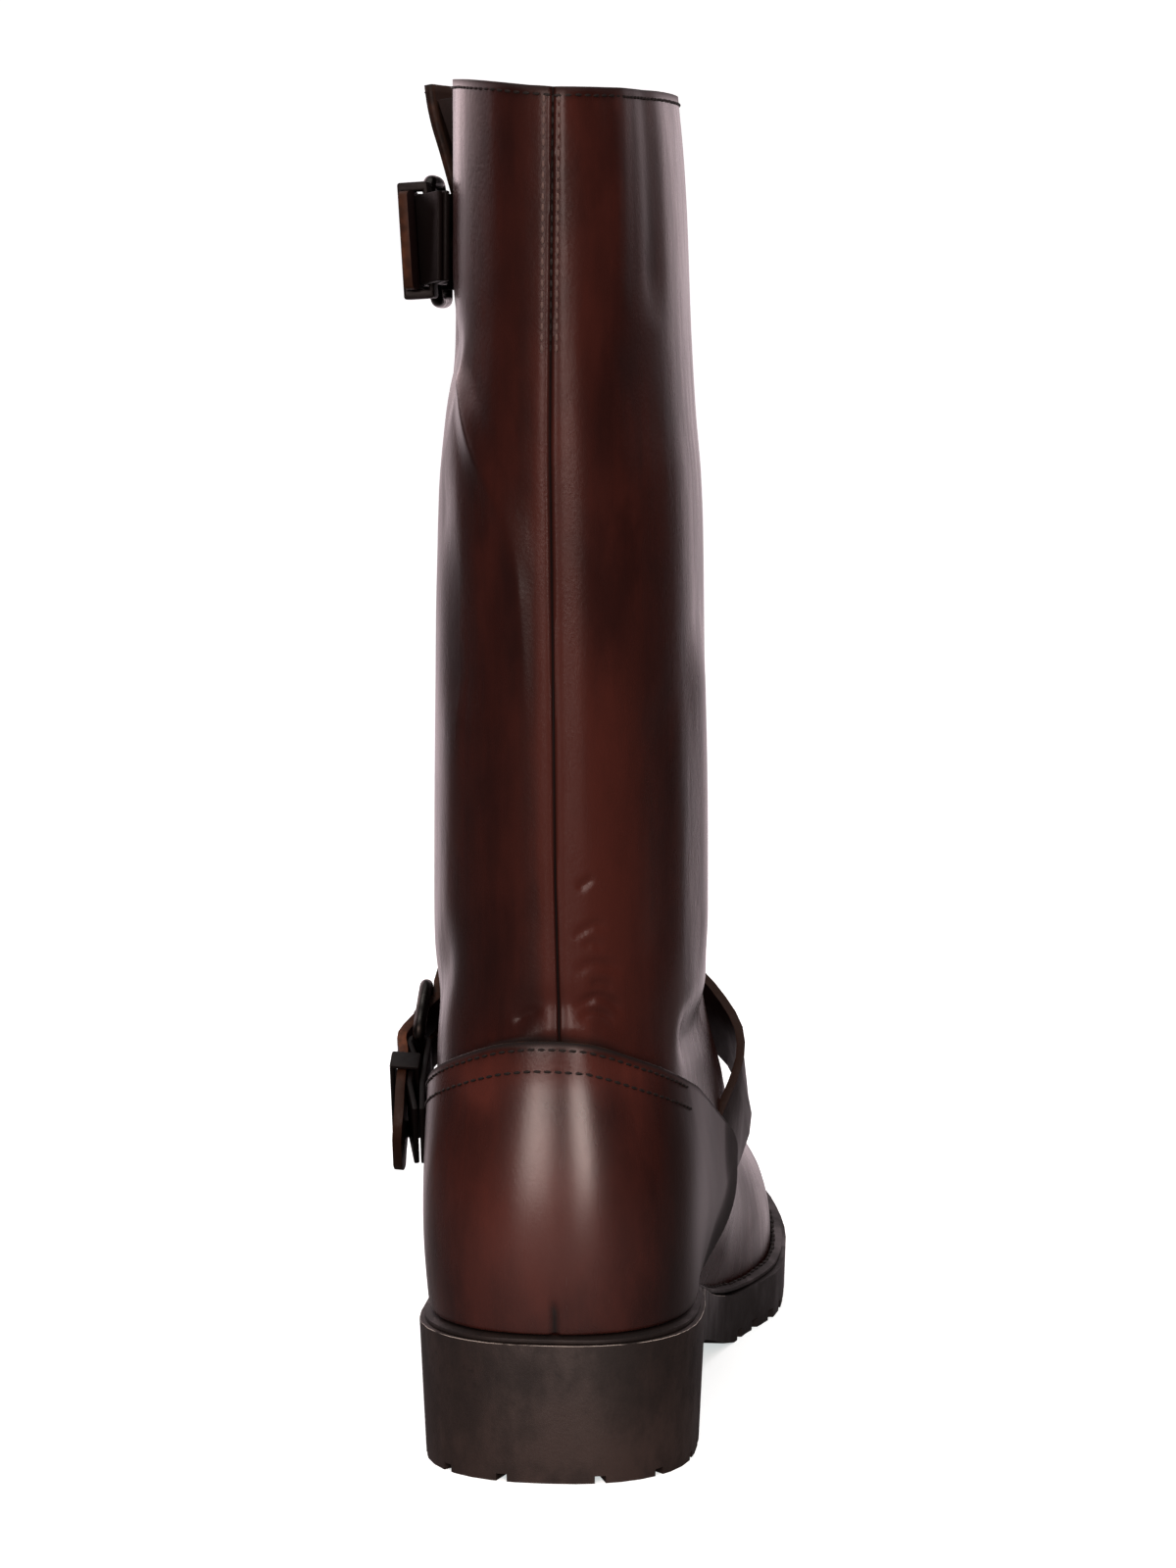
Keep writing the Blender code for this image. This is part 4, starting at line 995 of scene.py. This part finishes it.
class BOOT_OT_stage(bpy.types.Operator):
    """Floor with a sweep behind, soft light and the camera."""

    bl_idname = "boot.stage"
    bl_label = "Stage"

    def execute(self, context):
        stage = context.scene.boot_stage
        self.sweep()
        self.world(context.scene)
        facing = Vector((-math.sin(stage.azimuth), math.cos(stage.azimuth), 0.0))
        for degrees, share in STRIPS:
            place = self.around(stage, degrees, STRIP_DISTANCE, STRIP_HEIGHT)
            self.light("strip_light", place, Vector((0.0, 0.0, STRIP_AIM)), STRIP_SIZE,
                       share * stage.strip_power, STRIP_COLOUR)
        for name, (degrees, width, low, tall, glow) in PANELS.items():
            aim = Vector((0.0, 0.0, low + 0.5 * tall))
            place = self.around(stage, degrees, PANEL_DISTANCE, aim.z)
            self.light(name, place, aim, (width, tall), glow * math.pi * width * tall, PANEL_COLOUR)
        self.light("top_light", Vector((0.0, -0.2, 2.0)), Vector((0.0, 0.1, 0.0)), (2.2, 2.2),
                   stage.top_power)
        camera = bpy.data.objects.new("camera", bpy.data.cameras.new("camera"))
        camera.data.sensor_fit = "VERTICAL"
        camera.data.sensor_height = 36.0
        camera.data.lens = stage.lens
        camera.location = -facing * stage.distance + Vector((0.0, 0.0, stage.height))
        camera.rotation_euler = (math.pi / 2.0 - stage.tilt, 0.0, stage.azimuth - math.radians(0.342))
        context.scene.collection.objects.link(camera)
        context.scene.camera = camera
        context.scene.view_settings.view_transform = "Standard"
        return {"FINISHED"}

    @staticmethod
    def around(stage, degrees, distance, height):
        """Place round the boot, turned from the camera's side."""
        turn = stage.azimuth + math.radians(degrees)
        return Vector((distance * math.sin(turn), -distance * math.cos(turn), height))

    @staticmethod
    def light(name, place, aim, size, power, colour=(1.0, 1.0, 1.0)):
        """Rectangular soft light turned to an aim."""
        data = bpy.data.lights.new(name, "AREA")
        data.color = colour
        data.shape = "RECTANGLE"
        data.size, data.size_y = size
        data.energy = power
        lamp = bpy.data.objects.new(name, data)
        lamp.location = place
        lamp.rotation_euler = (aim - place).to_track_quat("-Z", "Y").to_euler()
        lamp.visible_camera = False
        bpy.context.scene.collection.objects.link(lamp)

    @staticmethod
    def sweep():
        """Floor and wall behind: pale to the camera, but dark in reflections outside a lit zone."""
        bm = bmesh.new()
        bmesh.ops.create_grid(bm, x_segments=2, y_segments=48, size=4.0)
        for vert in bm.verts:
            past = vert.co.y - SWEEP_START
            if past > 0.0:
                turn = min(past / SWEEP_RADIUS, math.pi / 2.0)
                vert.co.y = SWEEP_START + SWEEP_RADIUS * math.sin(turn)
                rise = max(past - SWEEP_RADIUS * math.pi / 2.0, 0.0)
                vert.co.z = SWEEP_RADIUS * (1.0 - math.cos(turn)) + rise
        floor = plain_object("floor", bm)
        floor.data.shade_smooth()
        material, add, shader, place = new_material("pale_floor")
        cloud = add.noise(place, 3.0)
        seen = add.node("ShaderNodeLightPath").outputs["Is Camera Ray"]
        pale = add.mix(cloud, (0.90, 0.90, 0.90), (0.93, 0.93, 0.93))
        apart = add.node("ShaderNodeSeparateXYZ")
        add.link(place, apart.inputs[0])
        across, far = apart.outputs["X"], apart.outputs["Y"]
        sideways = add.math("DIVIDE", across, add.math("MAXIMUM", far, 0.05))
        inner = add.times(add.remap(far, 0.60, 0.85), add.remap(sideways, 0.54, 0.35))
        inner = add.math("MAXIMUM", add.remap(across, 0.21, 0.14), inner)
        outer = add.remap(sideways, -1.10, -0.55)
        near = add.times(add.remap(far, 0.10, 0.30), add.remap(far, 0.45, 0.95, 0.54, 1.6))
        lit = add.times(inner, outer, near, add.remap(far, 1.5, 2.3, 1.0, 0.62))
        glow = add.mix(lit, (0.010, 0.010, 0.010), (1.08, 0.88, 0.93))
        add.feed(shader, {"Base Color": add.mix(seen, (0.12, 0.12, 0.12), pale), "Roughness": 0.7,
                          "Emission Color": add.mix(seen, glow, (0.56, 0.60, 0.60)),
                          "Emission Strength": 1.0})
        floor.data.materials.append(material)

    @staticmethod
    def world(scene):
        """White where the camera looks past the floor, dim as a light."""
        world = bpy.data.worlds.new("studio")
        world.use_nodes = True
        add = Sockets(world.node_tree)
        back = world.node_tree.nodes["Background"]
        seen = add.node("ShaderNodeLightPath").outputs["Is Camera Ray"]
        add.feed(back, {"Color": add.mix(seen, (0.015, 0.015, 0.016), (1.0, 1.0, 1.0)), "Strength": 1.0})
        scene.world = world


class BOOT_PT_panel(bpy.types.Panel):
    """Lists the boot's pieces, sizes and colours."""

    bl_idname = "BOOT_PT_panel"
    bl_label = "Calf boot"
    bl_space_type = "VIEW_3D"
    bl_region_type = "UI"
    bl_category = "Boot"

    def draw(self, context):
        for operator in PIECES:
            self.layout.operator(operator.bl_idname)
        for name, kind in SETTINGS.items():
            for label in kind.__annotations__:
                self.layout.prop(getattr(context.scene, name), label)


PIECES = (BOOT_OT_upper, BOOT_OT_counter, BOOT_OT_straps, BOOT_OT_buckles, BOOT_OT_sole, BOOT_OT_stitches,
          BOOT_OT_stage)
SETTINGS = {"boot_leather": BootLeather, "boot_shape": BootShape, "boot_stage": BootStage}
CLASSES = (*SETTINGS.values(), *PIECES, BOOT_PT_panel)


def register():
    for kind in CLASSES:
        bpy.utils.register_class(kind)
    for name, kind in SETTINGS.items():
        setattr(bpy.types.Scene, name, bpy.props.PointerProperty(type=kind))


def unregister():
    for name in SETTINGS:
        delattr(bpy.types.Scene, name)
    for kind in reversed(CLASSES):
        bpy.utils.unregister_class(kind)


def main():
    register()
    bpy.ops.boot.upper()
    bpy.ops.boot.counter()
    bpy.ops.boot.straps()
    bpy.ops.boot.buckles()
    bpy.ops.boot.sole()
    bpy.ops.boot.stitches()
    bpy.ops.boot.stage()


if __name__ == "__main__":
    main()
